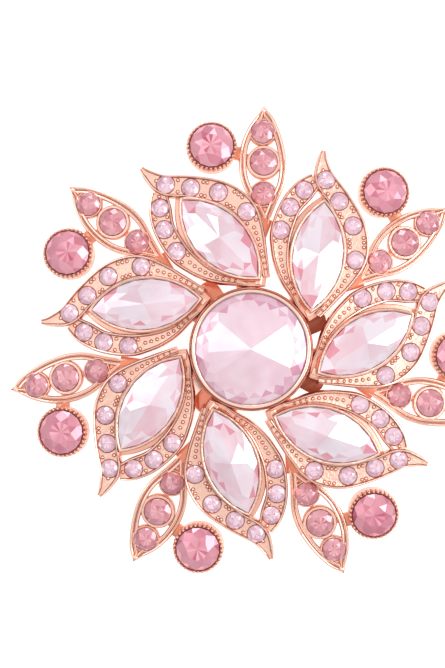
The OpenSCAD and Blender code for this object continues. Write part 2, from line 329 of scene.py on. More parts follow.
@dataclass(frozen=True)
class Sector:
    """The drooping frame of one petal or leaf: Y outwards, Z up from the casting's back."""

    turn: float
    base: float
    flat_root: bool = False

    def to_row(self, points: np.ndarray) -> np.ndarray:
        """Takes points from the sector to the row frame.

        Points turn down about a line across the sector just outside the cup, and then round Z. With a flat
        root, the points inside that line don't turn down.

        Args:
            points: Points in the sector's frame, one row each.

        Returns:
            The same points in the row frame.
        """
        x, y, z = points[:, 0], points[:, 1], points[:, 2]
        start = SIZES.cup_r + DROOP_START
        slope = np.full_like(y, math.radians(DROOP))
        if self.flat_root:
            slope = slope * np.clip((y - start) / ROOT_BEND + 0.5, 0, 1)
        lean_y = start + (y - start) * np.cos(slope) + z * np.sin(slope)
        lean_z = self.base - (y - start) * np.sin(slope) + z * np.cos(slope)
        a = math.radians(self.turn - 90)
        return np.stack([x * math.cos(a) - lean_y * math.sin(a), x * math.sin(a) + lean_y * math.cos(a), lean_z],
                        axis=1)


def petal_sector(k: int) -> Sector:
    """The frame of petal k, counted from 1."""
    return Sector(turn=180 / PETALS + (k - 1) * PITCH, base=SIZES.cup_base + SOLDER_GAP)


def leaf_sector(k: int, flat_root: bool = False) -> Sector:
    """The frame of leaf k, counted from 1."""
    return Sector(turn=(k - 1) * PITCH, base=SIZES.plate_top, flat_root=flat_root)


# ---- meshes ----


class Workpiece:
    """Gathers surfaces, in millimetres, and makes one Blender mesh of them."""

    bead_sides = 8
    bead_tiers = (0.0, 32.0, 62.0)  # angles up a bead's side, in degrees
    slab_edge = 0.12                # how far a bar's corners are cut
    sharp_angle = 38.0              # edges sharper than this stay sharp, in degrees

    def __init__(self) -> None:
        """Starts with no surfaces."""
        self.points: list[np.ndarray] = []
        self.faces: list[list[int]] = []
        self.finishes: list[Part] = []
        self.tones: list[np.ndarray] = []
        self.count = 0

    def add(self, points: np.ndarray, faces: Sequence[Sequence[int]], finish: Part | Sequence[Part],
            tones: np.ndarray | None = None) -> None:
        """Adds points and the faces between them.

        Args:
            points: The new points, one row each.
            faces: Faces as lists of places in points.
            finish: One finish for all the faces, or one for each.
            tones: Each face's painted reflection tone, on a stone.
        """
        self.tones.append(np.zeros(len(faces)) if tones is None else tones)
        self.points.append(np.asarray(points, float).reshape(-1, 3))
        self.faces.extend([[i + self.count for i in face] for face in faces])
        self.finishes.extend([finish] * len(faces) if isinstance(finish, Part) else finish)
        self.count += len(self.points[-1])

    def sheet(self, grid: np.ndarray, finish: Part | Sequence[Part], closed_rows: bool = False,
              caps: bool = True) -> None:
        """Adds a tube: rows of points along a path, where each row is a closed loop.

        Args:
            grid: Points as rows by columns by 3. Each row closes on itself.
            finish: One finish, or one for each column.
            closed_rows: Whether the last row joins the first, so that the tube is a ring.
            caps: Whether the ends are closed with a face each.
        """
        rows, cols = grid.shape[:2]
        last = rows if closed_rows else rows - 1
        i, j = np.meshgrid(np.arange(last), np.arange(cols), indexing="ij")
        ni, nj = (i + 1) % rows, (j + 1) % cols
        quads = np.stack([i * cols + j, ni * cols + j, ni * cols + nj, i * cols + nj], axis=-1).reshape(-1, 4)
        faces = quads.tolist()
        names = [finish] * len(faces) if isinstance(finish, Part) else list(finish)
        names = names * (len(faces) // len(names))
        if caps and not closed_rows:
            faces += [list(range(cols)), list(range((rows - 1) * cols, rows * cols))]
            names += [names[0], names[0]]
        self.add(grid.reshape(-1, 3), faces, names)

    def turned(self, profile: Sequence[Sequence[float]], centre: Sequence[float], finish: Part | Sequence[Part],
               columns: int = 48) -> None:
        """Adds a closed turned shape: a profile carried round an upright axis.

        A point of the shape is the axis plus the profile's radius along the cosine and sine of the angle. The
        first and last points of the profile lie on the axis, and each becomes one shared pole.

        Args:
            profile: Radius and height pairs from the lower pole, round the outside, to the upper pole.
            centre: The axis, as x, y and the height that the profile counts from.
            finish: One finish, or one for each stretch of the profile.
            columns: How many steps go round.
        """
        p = np.asarray(profile, float)
        grid = spun(p[1:-1, 0], p[1:-1, 1], columns)
        rows, cols = grid.shape[:2]
        names = [finish] * (rows + 1) if isinstance(finish, Part) else list(finish)
        points = np.vstack([grid.reshape(-1, 3), [[0, 0, p[0, 1]], [0, 0, p[-1, 1]]]]) + np.asarray(centre, float)
        i, j = np.meshgrid(np.arange(rows - 1), np.arange(cols), indexing="ij")
        nj = (j + 1) % cols
        quads = np.stack([i * cols + j, i * cols + nj, (i + 1) * cols + nj, (i + 1) * cols + j], axis=-1)
        around = np.arange(cols)
        after = (around + 1) % cols
        first = np.stack([np.full(cols, rows * cols), after, around], axis=1)
        final = (rows - 1) * cols
        last = np.stack([np.full(cols, rows * cols + 1), final + around, final + after], axis=1)
        finishes = [names[0]] * cols + [names[1 + r] for r in range(rows - 1) for _ in range(cols)]
        finishes += [names[-1]] * cols
        self.add(points, first.tolist() + quads.reshape(-1, 4).tolist() + last.tolist(), finishes)

    def beads(self, centres: np.ndarray, radii: np.ndarray, finish: Part = Part.POLISHED, tall: float = 1.0) -> None:
        """Adds little domes, each a half ball of eight sides that stands on a flat base.

        Args:
            centres: The middle of each base, one row each.
            radii: Each dome's radius.
            finish: Their finish.
            tall: Their height as a share of the radius.
        """
        sides, tiers = self.bead_sides, np.radians(self.bead_tiers)
        loops = [raised(ring_xy(sides, math.cos(t), 0.5 * i), tall * math.sin(t)) for i, t in enumerate(tiers)]
        shape = np.vstack(loops + [[[0, 0, tall]]])
        j = np.arange(sides)
        n = (j + 1) % sides
        faces = [list(range(sides))]
        for tier in range(len(tiers) - 1):
            a, b = tier * sides, (tier + 1) * sides
            faces += np.stack([a + j, a + n, b + j], axis=1).tolist()
            faces += np.stack([a + n, b + n, b + j], axis=1).tolist()
        top = (len(tiers) - 1) * sides
        faces += np.stack([top + j, top + n, np.full(sides, len(shape) - 1)], axis=1).tolist()
        for centre, radius in zip(centres, radii):
            self.add(shape * radius + centre, faces, finish)

    def shadow_discs(self, centres: np.ndarray, radii: np.ndarray, thick: float = 0.062) -> None:
        """Adds thin dark eight-sided plates, a painted shadow line round what stands on them.

        Args:
            centres: The middle of each top, one row each.
            radii: Each plate's radius.
            thick: Their thickness.
        """
        sides = self.bead_sides
        top = raised(ring_xy(sides), 0.0)
        j = np.arange(sides)
        n = (j + 1) % sides
        faces = [list(range(sides)), list(range(sides, 2 * sides))]
        faces += np.stack([j, n, sides + n, sides + j], axis=1).tolist()
        for centre, radius in zip(centres, radii):
            self.add(np.vstack([top * radius, top * radius - [0, 0, thick]]) + centre, faces, Part.PAINTED_SHADE)

    def slab(self, line: np.ndarray, half: np.ndarray | float, low: float, high: float, finish: Part,
             under: Part | None = None) -> None:
        """Adds a flat bar with rounded edges along a line.

        A section is a rectangle from low to high and half to each side, its corners cut, the upper ones twice.

        Args:
            line: The middle line, x and y.
            half: Half the bar's width, one number or one for each point.
            low: The height of its underside.
            high: The height of its top.
            finish: The finish of its top and sides.
            under: The finish of its underside, if another.
        """
        edge = min(self.slab_edge, 0.3 * (high - low))
        h = np.broadcast_to(np.asarray(half, float), (len(line),))
        side = np.array([-1, -1, -1, -1, -1, 1, 1, 1, 1, 1], float)
        inset = np.array([edge, 0, 0, 0.3 * edge, edge, edge, 0.3 * edge, 0, 0, edge])
        height = np.array([low, low + edge, high - edge, high - 0.3 * edge, high, high, high - 0.3 * edge,
                           high - edge, low + edge, low])
        offset = side * np.maximum(h[:, None] - inset, 0.01)
        self.sheet(carried(line, offset, height), [finish] * (len(side) - 1) + [under or finish])

    def build(self, name: str, finishes: "FinishShop", to_row: Callable[[np.ndarray], np.ndarray] | None = None,
              facets: bool = False) -> bpy.types.Object:
        """Makes the mesh object, with its normals outwards.

        Args:
            name: The object's name.
            finishes: Where its materials come from.
            to_row: Takes the points to the row frame, if they aren't in it.
            facets: Whether every face is flat, as on a cut stone.

        Returns:
            The new object at the origin, in metres.
        """
        points = np.vstack(self.points)
        if to_row is not None:
            points = to_row(points)
        used = list(dict.fromkeys(self.finishes))
        mesh = bpy.data.meshes.new(name)
        mesh.from_pydata((points * MM).tolist(), [], self.faces)
        for part in used:
            mesh.materials.append(finishes.material(part))
        places = {part: i for i, part in enumerate(used)}
        mesh.polygons.foreach_set("material_index", np.array([places[f] for f in self.finishes], np.int32))
        bm = bmesh.new()
        bm.from_mesh(mesh)
        bmesh.ops.recalc_face_normals(bm, faces=bm.faces)
        bm.to_mesh(mesh)
        bm.free()
        mesh.polygons.foreach_set("use_smooth", np.full(len(mesh.polygons), not facets))
        if facets:
            mesh.attributes.new("painted_reflection_tone", "FLOAT", "FACE").data.foreach_set("value", np.concatenate(self.tones))
        else:
            mesh.set_sharp_from_angle(angle=math.radians(self.sharp_angle))
        mesh.update()
        obj = bpy.data.objects.new(name, mesh)
        bpy.context.scene.collection.objects.link(obj)
        return obj


def settle(obj: bpy.types.Object, node: str) -> None:
    """Ties a finished piece to the head and its CAD node, and reports it.

    Args:
        obj: The piece.
        node: The CAD node it stands for.
    """
    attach(obj, "head")
    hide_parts(node)
    log.info("%s: %d faces", obj.name, len(obj.data.polygons))


# ---- finishes ----


@dataclass(frozen=True)
class Plating:
    """A plated metal finish that drifts between two colours and between two roughnesses."""

    part: Part
    colour: tuple[float, float, float]
    deep: tuple[float, float, float]
    rough: tuple[float, float]
    grain: float
    bump: float
    spread: float = 0.35


@dataclass(frozen=True)
class Crystal:
    """A foiled crystal, whose facets differ in tone from light to deep as painted reflections."""

    part: Part
    light: tuple[float, float, float]
    deep: tuple[float, float, float]
    mirror: float = 0.35
    gloss: float = 1.0
    ior: float = 1.56


PLATINGS = (
    Plating(Part.POLISHED, (0.91, 0.66, 0.57), (0.85, 0.50, 0.40), (0.16, 0.28), 900.0, 0.03),
    Plating(Part.FLOOR, (0.89, 0.61, 0.51), (0.77, 0.39, 0.30), (0.30, 0.44), 4200.0, 0.6, 0.6),
    # painted shade: the plate darker and redder on the outer sides
    Plating(Part.SIDE, (0.88, 0.51, 0.40), (0.77, 0.34, 0.25), (0.2, 0.34), 1500.0, 0.05, 0.5),
    # painted shade: the plate in deep orange-red on inner walls, stems and ties, where shade falls between the parts
    Plating(Part.WALL, (0.80, 0.30, 0.19), (0.62, 0.16, 0.10), (0.2, 0.34), 1500.0, 0.05, 0.5),
    # the back is rougher cast metal, and its darker, redder tone is painted shade
    Plating(Part.BACK, (0.86, 0.43, 0.32), (0.68, 0.25, 0.18), (0.30, 0.45), 1500.0, 0.12, 0.6),
    Plating(Part.BAND, (0.91, 0.62, 0.53), (0.83, 0.45, 0.36), (0.10, 0.24), 700.0, 0.02),
    # painted shade: a near-black brown for grooves, gaps round stones and beads, and the lugs on the right
    Plating(Part.PAINTED_SHADE, (0.42, 0.13, 0.08), (0.22, 0.06, 0.04), (0.4, 0.6), 2500.0, 0.1),
)
CRYSTALS = (
    Crystal(Part.RIVOLI, (0.85, 0.72, 0.79), (0.60, 0.28, 0.39), 0.25, 0.65),
    Crystal(Part.MARQUISE, (0.79, 0.70, 0.78), (0.70, 0.27, 0.34), 0.35, 0.7),
    Crystal(Part.LILAC, (0.88, 0.68, 0.78), (0.52, 0.26, 0.36), 0.2, 0.4),
    Crystal(Part.ROSE, (0.83, 0.40, 0.48), (0.48, 0.09, 0.16), 0.25, 0.5),
    Crystal(Part.DUSTY, (0.78, 0.41, 0.46), (0.48, 0.12, 0.16), 0.25, 0.5),
)


@dataclass
class Wiring:
    """Adds nodes to a tree and joins them."""

    tree: bpy.types.NodeTree

    def fill(self, node: bpy.types.Node, inputs: dict[str | int, object]) -> None:
        """Sets or joins a node's inputs.

        Args:
            node: The node.
            inputs: What each input gets, by name or number: a value, or the output that feeds it.
        """
        for name, value in inputs.items():
            if isinstance(value, bpy.types.NodeSocket):
                self.tree.links.new(value, node.inputs[name])
            else:
                node.inputs[name].default_value = value

    def node(self, kind: str, inputs: dict[str | int, object] | None = None, **settings: object) -> bpy.types.Node:
        """Adds a node.

        Args:
            kind: Its type, without the ShaderNode in front.
            inputs: What its inputs get, as in fill.
            **settings: The node's own settings, which come before its inputs.

        Returns:
            The node.
        """
        made = self.tree.nodes.new(f"ShaderNode{kind}")
        for name, value in settings.items():
            setattr(made, name, value)
        self.fill(made, inputs or {})
        return made


class FinishShop:
    """Makes each material once and hands it out by name."""

    def __init__(self) -> None:
        """Builds the shared groups and every material."""
        self.wear = self.plate_wear_group()
        self.facet_paint = self.painted_reflection_group()
        self.made: dict[Part, bpy.types.Material] = {}
        for plating in PLATINGS:
            self.made[plating.part] = self.plated(plating)
        for crystal in CRYSTALS:
            self.made[crystal.part] = self.cut_crystal(crystal)

    def material(self, part: Part) -> bpy.types.Material:
        """The material of a finish."""
        return self.made[part]

    @staticmethod
    def group(name: str, inputs: dict[str, object], outputs: Sequence[str]
              ) -> tuple[Wiring, bpy.types.bpy_prop_collection, bpy.types.Node]:
        """Starts a node group.

        Args:
            name: The group's name.
            inputs: Its inputs and their values, where a tuple is a colour.
            outputs: Its outputs, where Color is a colour and the others are plain values.

        Returns:
            The group's wiring, what its inputs give, and the node that its outputs leave by.
        """
        tree = bpy.data.node_groups.new(name, "ShaderNodeTree")
        kinds = {True: "NodeSocketColor", False: "NodeSocketFloat"}
        for key, value in inputs.items():
            kind = kinds[isinstance(value, tuple)]
            tree.interface.new_socket(name=key, in_out="INPUT", socket_type=kind).default_value = value
        for key in outputs:
            tree.interface.new_socket(name=key, in_out="OUTPUT", socket_type=kinds[key == "Color"])
        return Wiring(tree), tree.nodes.new("NodeGroupInput").outputs, tree.nodes.new("NodeGroupOutput")

    def plate_wear_group(self) -> bpy.types.NodeTree:
        """Plated metal that varies as it does after polishing: cloudy tone, fine grain and hairline marks.

        Returns:
            A group with a colour, a roughness and a height that change over the surface.
        """
        wiring, given, leave = self.group("plate_wear", {
            "Bright": (1, 0.7, 0.6, 1), "Deep": (0.8, 0.4, 0.3, 1), "Smooth": 0.1, "Rough": 0.3, "Grain": 1000.0,
            "Spread": 0.35}, ("Color", "Roughness", "Height"))
        node = wiring.node
        at = node("TexCoord").outputs["Object"]
        cloud = node("TexNoise", {"Vector": at, "Scale": 260.0, "Detail": 4.0})
        fine = node("TexNoise", {"Vector": at, "Scale": given["Grain"], "Detail": 3.0})
        drawn = node("Mapping", {"Vector": at, "Scale": (1.0, 9.0, 2.0), "Rotation": (0.3, 0.2, 0.7)})
        hair = node("TexNoise", {"Vector": drawn.outputs["Vector"], "Scale": 240.0, "Detail": 2.0})
        tone = node("Math", {0: cloud.outputs["Fac"], 1: given["Spread"]}, operation="MULTIPLY")
        mix = node("Mix", {"Factor": tone.outputs[0], "A": given["Bright"], "B": given["Deep"]}, data_type="RGBA")
        marks = node("MapRange", {"Value": hair.outputs["Fac"], "From Min": 0.35, "From Max": 0.7,
                                  "To Min": given["Smooth"], "To Max": given["Rough"]})
        both = node("Math", {0: fine.outputs["Fac"], 1: hair.outputs["Fac"]}, operation="ADD")
        wiring.fill(leave, {"Color": mix.outputs["Result"], "Roughness": marks.outputs["Result"],
                            "Height": both.outputs[0]})
        return wiring.tree

    def painted_reflection_group(self) -> bpy.types.NodeTree:
        """Painted facet reflections on a crystal: colour that steps between two tones from facet to facet and drifts
        softly inside each.

        Returns:
            A group with a colour and a gloss that change over the surface. A deep facet shines less.
        """
        wiring, given, leave = self.group("painted_reflection", {
            "Light": (1, 0.9, 0.95, 1), "Deep": (0.9, 0.6, 0.7, 1), "Shine": 1.0}, ("Color", "Gloss"))
        node = wiring.node
        at = node("TexCoord").outputs["Object"]
        drift = node("TexNoise", {"Vector": at, "Scale": 420.0, "Detail": 1.0})
        spread = node("MapRange", {"Value": drift.outputs["Fac"], "From Min": 0.35, "From Max": 0.65,
                                   "To Min": -0.08, "To Max": 0.12})
        tone = node("Attribute", attribute_name="painted_reflection_tone")
        total = node("Math", {0: tone.outputs["Fac"], 1: spread.outputs["Result"]}, operation="ADD", use_clamp=True)
        mix = node("Mix", {"Factor": total.outputs[0], "A": given["Light"], "B": given["Deep"]}, data_type="RGBA")
        gloss = node("MapRange", {"Value": total.outputs[0], "To Min": given["Shine"], "To Max": 0.12})
        wiring.fill(leave, {"Color": mix.outputs["Result"], "Gloss": gloss.outputs["Result"]})
        return wiring.tree

    @staticmethod
    def blank(name: str) -> tuple[bpy.types.Material, Wiring, bpy.types.Node]:
        """A new node material.

        Args:
            name: The material's name.

        Returns:
            The material, its wiring and its Principled shader.
        """
        material = bpy.data.materials.new(name)
        material.use_nodes = True
        return material, Wiring(material.node_tree), material.node_tree.nodes["Principled BSDF"]

    def plated(self, plating: Plating) -> bpy.types.Material:
        """A plated metal material.

        Args:
            plating: Its colours, roughness and grain.

        Returns:
            The material.
        """
        material, wiring, shader = self.blank(plating.part.value)
        smooth, rough = plating.rough
        wear = wiring.node("Group", {
            "Bright": (*plating.colour, 1), "Deep": (*plating.deep, 1), "Smooth": smooth, "Rough": rough,
            "Grain": plating.grain, "Spread": plating.spread}, node_tree=self.wear)
        bump = wiring.node("Bump", {"Height": wear.outputs["Height"], "Strength": plating.bump,
                                    "Distance": 0.1 * MM})
        wiring.fill(shader, {"Base Color": wear.outputs["Color"], "Roughness": wear.outputs["Roughness"],
                             "Normal": bump.outputs["Normal"], "Metallic": 1.0})
        return material

    def cut_crystal(self, crystal: Crystal) -> bpy.types.Material:
        """Foiled crystal: a tinted, partly mirrored body under a clear glossy surface, its colour the painted facet
        reflections.

        Args:
            crystal: Its tones, how much the foil mirrors, how glossy it is and how strongly it bends light.

        Returns:
            The material.
        """
        material, wiring, shader = self.blank(crystal.part.value)
        facet_paint = wiring.node("Group", {
            "Light": (*crystal.light, 1), "Deep": (*crystal.deep, 1), "Shine": crystal.gloss}, node_tree=self.facet_paint)
        wiring.fill(shader, {"Base Color": facet_paint.outputs["Color"], "Coat Weight": facet_paint.outputs["Gloss"],
                             "Metallic": crystal.mirror, "Roughness": 0.05, "IOR": crystal.ior,
                             "Coat Roughness": 0.01, "Coat IOR": crystal.ior})
        return material


@dataclass
class Assembly:
    """A group of pieces, and where their materials come from."""

    finishes: FinishShop


# ---- stones ----


@dataclass
class CutStone:
    """A faceted stone as points, flat faces and a painted reflection tone for each face, from 0, light, to 1, deep.
    """

    points: np.ndarray
    faces: list[list[int]]
    tones: np.ndarray
    finish: Part

    def set_into(self, work: Workpiece, at: Sequence[float], turn: float = 0.0) -> None:
        """Adds the stone to a workpiece.

        Args:
            work: Where it goes.
            at: The middle of its girdle's lower edge.
            turn: Its turn about its own axis, in radians.
        """
        c, s = math.cos(turn), math.sin(turn)
        spin = np.array([[c, s, 0], [-s, c, 0], [0, 0, 1]])
        work.add(self.points @ spin + np.asarray(at, float), self.faces, self.finish, self.tones)


@dataclass(frozen=True)
class RoundCut:
    """The proportions that every round stone shares, as shares of its radius."""

    sides: int = 8
    girdle: float = 0.09                      # the girdle's height
    stars: float = 0.8                        # the radius of the stars' outer points
    hub: tuple[float, float] = (0.04, -0.03)  # where the table's wedges meet, a little off the middle


def brilliant(radius: float, crown: float, pavilion: float, finish: Part, rng: np.random.Generator,
              table: float = 0.54) -> CutStone:
    """A round stone cut with a table, eight stars, eight kites and sixteen girdle facets.

    The kites are flat because the points between them lie on the line, seen from the side, from the table's
    corner to the girdle. The table is one flat octagon in sixteen wedges, whose tones are a painted reflection
    of the pavilion's facets below it.

    Args:
        radius: The girdle's radius.
        crown: The crown's height above the girdle.
        pavilion: The depth below the girdle.
        finish: Its crystal.
        rng: Where the facets' tones come from.
        table: The table's radius as a share of the girdle's.

    Returns:
        The stone, with its girdle's lower edge at height 0.
    """
    cut = RoundCut()
    n, edge = cut.sides, cut.girdle * radius
    half = math.cos(math.pi / n)

    def ring(count: int, r: float, z: float, start: float) -> np.ndarray:
        """A ring of points at one height."""
        return raised(ring_xy(count, r, start), z)

    star_r, table_r = cut.stars * radius, table * radius
    star_z = edge + crown * (1 - (star_r * half - table_r) / (radius - table_r))
    points = np.vstack([
        ring(n, table_r, edge + crown, 0.0), ring(n, table_r * half, edge + crown, 0.5), ring(n, star_r, star_z, 0.5),
        ring(2 * n, radius, edge, 0.0), ring(2 * n, radius, 0.0, 0.0),
        [[cut.hub[0] * radius, cut.hub[1] * radius, edge + crown], [0, 0, -pavilion]]])
    t, m, s, g, u, hub, tip = 0, n, 2 * n, 3 * n, 5 * n, 7 * n, 7 * n + 1
    faces, tones = [], []
    for i in range(n):
        j, h, g2, g3 = (i + 1) % n, (i - 1) % n, (2 * i + 1) % (2 * n), (2 * i + 2) % (2 * n)
        faces += [[hub, t + i, m + i], [hub, m + i, t + j], [t + i, m + i, s + i], [m + i, t + j, s + i],
                  [t + i, s + h, g + 2 * i, s + i], [s + i, g + 2 * i, g + g2], [s + i, g + g2, g + g3],
                  [g + 2 * i, g + g2, u + g2, u + 2 * i], [g + g2, g + g3, u + g3, u + g2],
                  [tip, u + 2 * i, u + g2], [tip, u + g2, u + g3]]
        a, b, c, d, e, f = rng.uniform(0, 1, 6)
        star = 0.2 + 0.5 * c
        tones += [0.05 + 0.6 * a ** 2, 0.3 + 0.7 * b ** 2, star, star, 0.1 + 0.5 * d, 0.05 + 0.9 * e ** 2,
                  0.15 + 0.85 * f ** 3, 0.9, 0.9, 0.6, 0.8]
    return CutStone(points, faces, np.array(tones), finish)


def pointed(outline: Callable[[np.ndarray], np.ndarray], count: int, edge: float, crown: float, pavilion: float,
            tiers: Sequence[tuple[float, float]], finish: Part, tone: Callable[[int, np.ndarray], np.ndarray]
            ) -> CutStone:
    """A stone that rises to a point, with long facets above and a mosaic of small ones along its girdle.

    Tiers of points lie inside the outline, scaled about its middle and each half a step round from the one
    before it. Triangles join each tier to the next, and the first tier to the point.

    Args:
        outline: Gives x and y for each parameter from 0 to 1, round a closed curve.
        count: How many points lie on each tier.
        edge: The girdle's height.
        crown: The point's height above the girdle.
        pavilion: The depth below the girdle.
        tiers: Each tier's scale and its height as a share of the crown's, from the middle out.
        finish: Its crystal.
        tone: Gives the tones of one round of triangles from its number, counted from the point outwards, and
            their angles round the middle. Each tier has two rounds: the teeth that point out from it, and the
            triangles between them.

    Returns:
        The stone, with its girdle's lower edge at height 0.
    """
    levels = [(scale, edge + crown * rise) for scale, rise in tiers] + [(1.0, edge), (1.0, 0.0)]
    offsets = [0.5 * ((len(tiers) - k) % 2) for k in range(len(tiers))] + [0.0, 0.0]
    loops = []
    for (scale, z), offset in zip(levels, offsets):
        loops.append(raised(outline(((np.arange(count) + offset) / count) % 1.0) * scale, z))
    points = np.vstack([[[0, 0, edge + crown], [0, 0, -pavilion]], *loops])
    i = np.arange(count)
    j = (i + 1) % count

    def start(level: int) -> int:
        """Where a tier's points begin."""
        return 2 + level * count

    fans = [(0, np.stack([np.zeros(count, int), start(0) + i, start(0) + j], 1))]
    for k in range(len(tiers)):
        a, b = start(k), start(k + 1)
        if offsets[k] > 0:
            teeth, between = np.stack([a + i, b + j, a + j], 1), np.stack([a + i, b + i, b + j], 1)
        else:
            teeth, between = np.stack([a + i, b + i, a + j], 1), np.stack([b + i, b + j, a + j], 1)
        fans += [(2 * k + 1, teeth), (2 * k + 2, between)]
    faces, tones = [], []
    for level, fan in fans:
        middle = points[fan].mean(axis=1)
        faces += fan.tolist()
        tones.append(tone(level, np.arctan2(middle[:, 1], middle[:, 0])))
    g, u = start(len(tiers)), start(len(tiers) + 1)
    faces += np.stack([g + i, g + j, u + j, u + i], 1).tolist()
    faces += np.stack([np.ones(count, int), u + j, u + i], 1).tolist()
    tones += [np.full(count, 0.9), np.full(count, 0.8)]
    return CutStone(points, faces, np.concatenate(tones), finish)


def marquise_outline(margin: float = 0.0) -> Callable[[np.ndarray], np.ndarray]:
    """The pointed oval of a marquise stone, grown by a margin.

    It is two arcs of one radius that meet at the tips. The first half of the parameter runs down the right arc
    from tip to tip, and the second half runs up the left one.

    Args:
        margin: How far the arcs are moved outwards.

    Returns:
        A function that gives x and y for parameters from 0 to 1.
    """
    arc = (MARQUISE_A ** 2 + MARQUISE_B ** 2) / (2 * MARQUISE_B)
    r, shift = arc + margin, arc - MARQUISE_B
    reach = math.acos(shift / r)

    def outline(t: np.ndarray) -> np.ndarray:
        """Points of the oval.

        Args:
            t: The parameters.

        Returns:
            Their x and y.
        """
        right = t < 0.5
        a = np.where(right, reach * (1 - 4 * t), reach * (1 - 4 * (t - 0.5)))
        point = np.stack([r * np.cos(a) - shift, r * np.sin(a)], -1)
        return np.where(right[..., None], point, -point)

    return outline


# ---- flower ----


@dataclass
class Arm:
    """One curved arm of a petal, a channel with raised rims and small stones along its floor."""

    line: Sequence[Sequence[float]]
    stones: Sequence[Sequence[float]]
    floor: float
    steps: int = 10
    full_half: float = 0.55   # half-width below which the rims narrow as well
    bead_r: float = 0.17
    bead_inset: float = 0.57  # from the arm's side to the beads of a pair
    pair_pitch: float = 0.62
    row_pitch: float = 0.66
    tip_gap: float = 0.22     # from the first stone to the bead before it
    pair_gap: float = 0.18    # from the last stone to the pair after it
    row_gap: float = 0.85     # from the last stone to the row after it
    root_free: float = 0.7    # bare length at the arm's root
    bead_shadow_ring: float = 0.06   # the painted shadow line round a bead
    bead_lift: float = 0.015  # the beads' feet above the floor
    bead_tall: float = 0.95   # as a share of a bead's radius
    middle: np.ndarray = field(init=False)
    half: np.ndarray = field(init=False)

    def __post_init__(self) -> None:
        """Works out the middle line and its half-width."""
        curve = catmull_rom(self.line, self.steps)
        self.middle, self.half = curve[:, :2], np.maximum(PAVE_R + curve[:, 2], 0.02)

    def section(self) -> tuple[np.ndarray, list[Part]]:
        """The channel's cross-section, from the left back edge over both rims to the right back edge.

        Returns:
            Rows of side from -1 to 1, inset from that side and height, and the finish after each.
        """
        top, floor = self.floor + RIM_H, self.floor
        left = [(0.1, 0.0), (0.0, 0.1), (0.0, top - 0.34), (0.04, top - 0.26), (0.05, top - 0.08),
                (0.1, top - 0.01), (0.17, top), (0.23, top - 0.04), (0.26, top - 0.14), (0.27, floor + 0.03),
                (0.34, floor)]
        rows = [(-1, i, z) for i, z in left] + [(-0.4, 0.34, floor + 0.01), (0.4, 0.34, floor + 0.01)]
        rows += [(1, i, z) for i, z in reversed(left)]
        # painted shade: the rim's outer sides darker, with the darkest tone on the step in the outer side and on the
        # inner wall down to the floor
        rim = [Part.SIDE] * 2 + [Part.PAINTED_SHADE] + [Part.POLISHED] * 6 + [Part.PAINTED_SHADE]
        names = rim + [Part.FLOOR] * 3 + rim[::-1]
        return np.array(rows, float), names + [Part.BACK]

    def carve(self, work: Workpiece) -> None:
        """Adds the channel: its section carried along the middle line, narrowed with the half-width.

        Args:
            work: Where it goes.
        """
        rows, names = self.section()
        squeeze = np.minimum(1.0, self.half / self.full_half)
        offset = rows[:, 0] * np.maximum(self.half[:, None] - rows[:, 1] * squeeze[:, None], 0.0)
        work.sheet(place(carried(self.middle, offset, rows[:, 2])), names)

    def bead_places(self) -> tuple[np.ndarray, np.ndarray]:
        """Where the milgrain beads stand: pairs between the stones, then a single row to the arm's root.

        Returns:
            The beads' x and y, and their radii.
        """
        distance = along(self.middle)
        stops = [distance[np.argmin(np.linalg.norm(self.middle - np.array(s), axis=1))] for s in self.stones]
        spots, side = [], []
        for a, b in zip(stops[:-1], stops[1:]):
            pairs = max(1, round((b - a - 2 * PAVE_R) / self.pair_pitch - 0.3))
            for p in np.linspace(a + PAVE_R, b - PAVE_R, pairs + 2)[1:-1]:
                spots += [p, p]
                side += [-1, 1]
        past = stops[-1] + PAVE_R
        spots += [stops[0] - PAVE_R - self.tip_gap, past + self.pair_gap, past + self.pair_gap]
        side += [0, -1, 1]
        row = np.arange(past + self.row_gap, distance[-1] - self.root_free, self.row_pitch)
        spots, side = np.append(spots, row), np.append(side, np.zeros(len(row)))
        at = np.column_stack([np.interp(spots, distance, self.middle[:, i]) for i in range(2)])
        normal = np.column_stack([np.interp(spots, distance, across(self.middle)[:, i]) for i in range(2)])
        half = np.interp(spots, distance, self.half)
        at = at + normal * (side * (half - self.bead_inset))[:, None]
        return at, np.minimum(self.bead_r, 0.42 * np.maximum(half - 0.2, 0.2))

    def dress(self, work: Workpiece) -> None:
        """Adds the beads, each on a painted shadow disc, and the painted shadow line round each stone's seat.

        Args:
            work: Where they go.
        """
        at, radii = self.bead_places()
        foot = place(raised(at, self.floor + self.bead_lift))
        work.shadow_discs(foot, radii + self.bead_shadow_ring)
        work.beads(foot, radii, tall=self.bead_tall)
        for stone in place(np.array(self.stones)):
            seat_shadow_line(work, (*stone, self.floor), PAVE_R)


def seat_shadow_line(work: Workpiece, at: Sequence[float], radius: float, tube: float = 0.075) -> None:
    """Adds a painted shadow round a stone: a thin dark ring of four sides, half sunk into the floor.

    Args:
        work: Where it goes.
        at: The middle of the stone at the floor's height.
        radius: The stone's radius.
        tube: Half the line's width.
    """
    section = ring_xy(4, tube)
    grid = spun(radius + 0.04 + section[:, 0], 0.55 * section[:, 1], 24).swapaxes(0, 1)
    work.sheet(grid + np.asarray(at, float), Part.PAINTED_SHADE, closed_rows=True)


